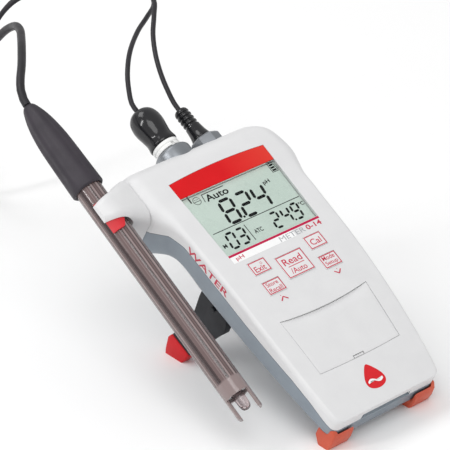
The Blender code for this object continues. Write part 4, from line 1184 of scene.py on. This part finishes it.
def make_cap(looks):
    """The electrode's cap: soft rubber with broad flutes that fade towards its mouth."""
    outline = [(14.6, 7.3), (15.0, 7.85), (15.8, 8.0), (24.0, 7.9), (38.0, 7.6), (44.0, 7.3), (49.0, 6.8),
               (53.5, 6.1), (57.5, 5.2), (61.0, 4.1), (63.2, 3.2), (64.2, 2.4)]
    profile = smooth_profile(outline, 0.7)

    def flutes(angle, along):
        rise = min(max((along - 16.5) / 6.0, 0.0), 1.0) * min(max((64.0 - along) / 14.0, 0.0), 1.0)
        return 1.0 - 0.055 * rise * (0.5 - 0.5 * math.cos(7 * angle)) ** 1.5

    profile = profile + [(64.3, 2.1), (21.5, 2.1), (21.5, 6.6), (14.6, 6.6)]
    cap = add("cap_cover", turned(profile, ring=True, segments=112, shape=flutes), looks["cap"], place=ELECTRODE,
              sharp=40)
    stand_in(cap, "electrode_arm", "cap", "electrode_cap")


# ---- cords ----

def smooth_route(points, step):
    """Points about one step apart on a smooth curve through a route's points."""
    route = [Vector(p) for p in points]
    route = [2 * route[0] - route[1]] + route + [2 * route[-1] - route[-2]]
    result = []
    for before, start, end, after in zip(route, route[1:], route[2:], route[3:]):
        parts = max(round((end - start).length / step), 1)
        for i in range(parts):
            t = i / parts
            result.append(0.5 * (2 * start + (end - before) * t + (2 * before - 5 * start + 4 * end - after) * t**2
                                 + (3 * start - before - 3 * end + after) * t**3))
    return result + [route[-2]]


def tube(name, route, diameter, look):
    """A round mesh tube along a route, closed at both ends."""
    sections = []
    normal = None
    for i, place in enumerate(route):
        ahead = (route[min(i + 1, len(route) - 1)] - route[max(i - 1, 0)]).normalized()
        if normal is None:
            normal = ahead.orthogonal().normalized()
        normal = (normal - ahead * normal.dot(ahead)).normalized()
        across = ahead.cross(normal)
        turns = [math.tau * side / CORD_SIDES for side in range(CORD_SIDES)]
        ring = [place + (normal * math.cos(a) + across * math.sin(a)) * diameter / 2 for a in turns]
        sections.append([tuple(p / MM) for p in ring])
    return add(name, loft(sections), look, place=Matrix.Identity(4))


def coil_route():
    """The spare cable's turns: two on the ground and one on top, then out to the splitter."""
    turns = []
    steps = int(COIL_TURNS * COIL_STEPS)
    for i in range(steps + 1):
        part = i / steps * COIL_TURNS
        ring = min(int(part), 2)
        radius, height = COIL_RINGS[ring]
        if part > ring + 0.75 and ring < 2:
            t = (part - ring - 0.75) / 0.25
            t = t * t * (3 - 2 * t)
            radius += (COIL_RINGS[ring + 1][0] - radius) * t
            height += (COIL_RINGS[ring + 1][1] - height) * t
        angle = math.pi - COIL_TURNS * math.tau * i / steps
        turns.append((COIL_CENTRE.x + radius * math.cos(angle), COIL_CENTRE.y + radius * math.sin(angle), height))
    return turns


def cable_path():
    lead_in = [(-0.0440, 0.2240, 0.00215), (-0.0466, 0.2320, 0.00215)]
    coil = coil_route()
    lead_out = [(0.0016, 0.2330, 0.0050), (0.0012, 0.2270, 0.0036), (SPLITTER_X, SPLITTER_ENDS[1] - 0.0015,
                                                                    SPLITTER_HEIGHT)]
    return smooth_route(CABLE_ROUTE + lead_in + coil + lead_out, 0.0035)


def make_cords(looks):
    route = cable_path()
    cable = tube("electrode_lead", route, CABLE_DIAMETER, looks["cable"])
    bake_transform(cable)
    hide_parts("electrode_cable", "cable_coil")
    splitter = make_splitter(looks)
    tie = make_tie(looks)
    for name, points, node in (("bnc_lead", BNC_ROUTE, "bnc_tail"), ("cinch_lead", CINCH_ROUTE, "cinch_tail")):
        route = smooth_route(points, 0.003)
        lead = tube(name, route, TAIL_DIAMETER, looks["cable"])
        stand_in(lead, "case", "cable", node)


def make_splitter(looks):
    """The moulded fork where the cable parts into two leads."""
    near, far = SPLITTER_ENDS
    sections = []
    for i in range(25):
        part = i / 24
        half_width = curve_at([(0.0, 3.9), (0.06, 4.6), (0.45, 4.3), (0.75, 2.6), (1.0, 2.15)], part)
        half_height = curve_at([(0.0, 1.9), (0.06, 2.6), (0.45, 2.85), (0.75, 2.5), (1.0, 2.15)], part)
        groove = 0.25 if i in (15, 16, 18, 19, 21, 22) else 0.0
        y = (near + (far - near) * part) / MM
        ring = [math.tau * s / 32 for s in range(32)]
        sections.append([(SPLITTER_X / MM + (half_width - groove) * math.cos(a), y,
                          SPLITTER_HEIGHT / MM + (half_height - groove) * math.sin(a)) for a in ring])
    splitter = add("splitter_body", loft(sections), looks["boot"], place=Matrix.Identity(4), sharp=60)
    return stand_in(splitter, "case", "cable", "y_splitter")


def make_tie(looks):
    """A flat tie that holds the coil's turns together."""
    low, high = (COIL_RINGS[1][0] - 0.0029) / MM, (COIL_RINGS[0][0] + 0.0029) / MM
    sections = []
    count = 40
    for i in range(count):
        a = math.tau * i / count
        out = (low + high) / 2 + (high - low) / 2 * math.copysign(abs(math.cos(a)) ** 0.6, math.cos(a))
        up = 4.0 + 3.85 * math.copysign(abs(math.sin(a)) ** 0.6, math.sin(a))
        sections.append((out, up))
    inner = [(4.0 + (u - 4.0) * 0.86, (low + high) / 2 + (o - (low + high) / 2) * 0.86) for o, u in sections]
    points, faces = [], []
    centre_x, centre_y = COIL_CENTRE.x / MM, COIL_CENTRE.y / MM
    for width in (-1.6, 1.6):
        for out, up in sections:
            points.append((centre_x + width, centre_y + out, up))
        for up, out in inner:
            points.append((centre_x + width, centre_y + out, up))
    for i in range(count):
        j = (i + 1) % count
        outer_a, outer_b, inner_a, inner_b = i, 2 * count + i, count + i, 3 * count + i
        outer_c, outer_d, inner_c, inner_d = j, 2 * count + j, count + j, 3 * count + j
        faces += [(outer_a, outer_c, outer_d, outer_b), (inner_a, inner_b, inner_d, inner_c),
                  (outer_a, inner_a, inner_c, outer_c), (outer_b, outer_d, inner_d, inner_b)]
    tie = add("coil_tie", (points, faces), looks["rubber_dark"], place=Matrix.Identity(4), sharp=50)
    return stand_in(tie, "case", "cable")


# ---- CAD nodes that keep their shape ----

CARRIED = {
    "zebra_strip": "rubber_grey", "keypad_membrane": "rubber_grey", "main_board": "board", "buzzer": "rubber_dark",
    "battery_tray": "rubber_dark", "battery_1": "cell", "battery_2": "cell", "battery_3": "cell",
    "contact_left": "brass", "contact_right": "brass", "bnc_socket": "nickel", "bnc_plug_core": "brass",
    "cinch_socket": "nickel", "cinch_plug_core": "brass", "stand_pin": "stand", "arm_pivot": "steel",
    "pivot_clip": "steel", "pivot_spring": "steel", "friction_washer": "rubber_dark",
    "temperature_sensor": "steel",
}


def paint_carried(looks):
    for name, look in CARRIED.items():
        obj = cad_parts[name]
        obj.data.materials.clear()
        obj.data.materials.append(looks[look])


def main():
    make_camera()
    make_studio()
    looks = make_looks()
    make_cords(looks)
    paint_carried(looks)
    make_front_cover(looks)
    make_rear_shell(looks)
    make_screw_heads(looks)
    make_display(looks)
    make_picture(looks)
    make_prints(looks)
    make_mark(looks)
    make_side_word(looks)
    make_keys(looks)
    make_door(looks)
    make_feet(looks)
    make_stand(looks)
    make_connectors(looks)
    make_arm(looks)
    make_electrode(looks)
    make_cap(looks)


main()
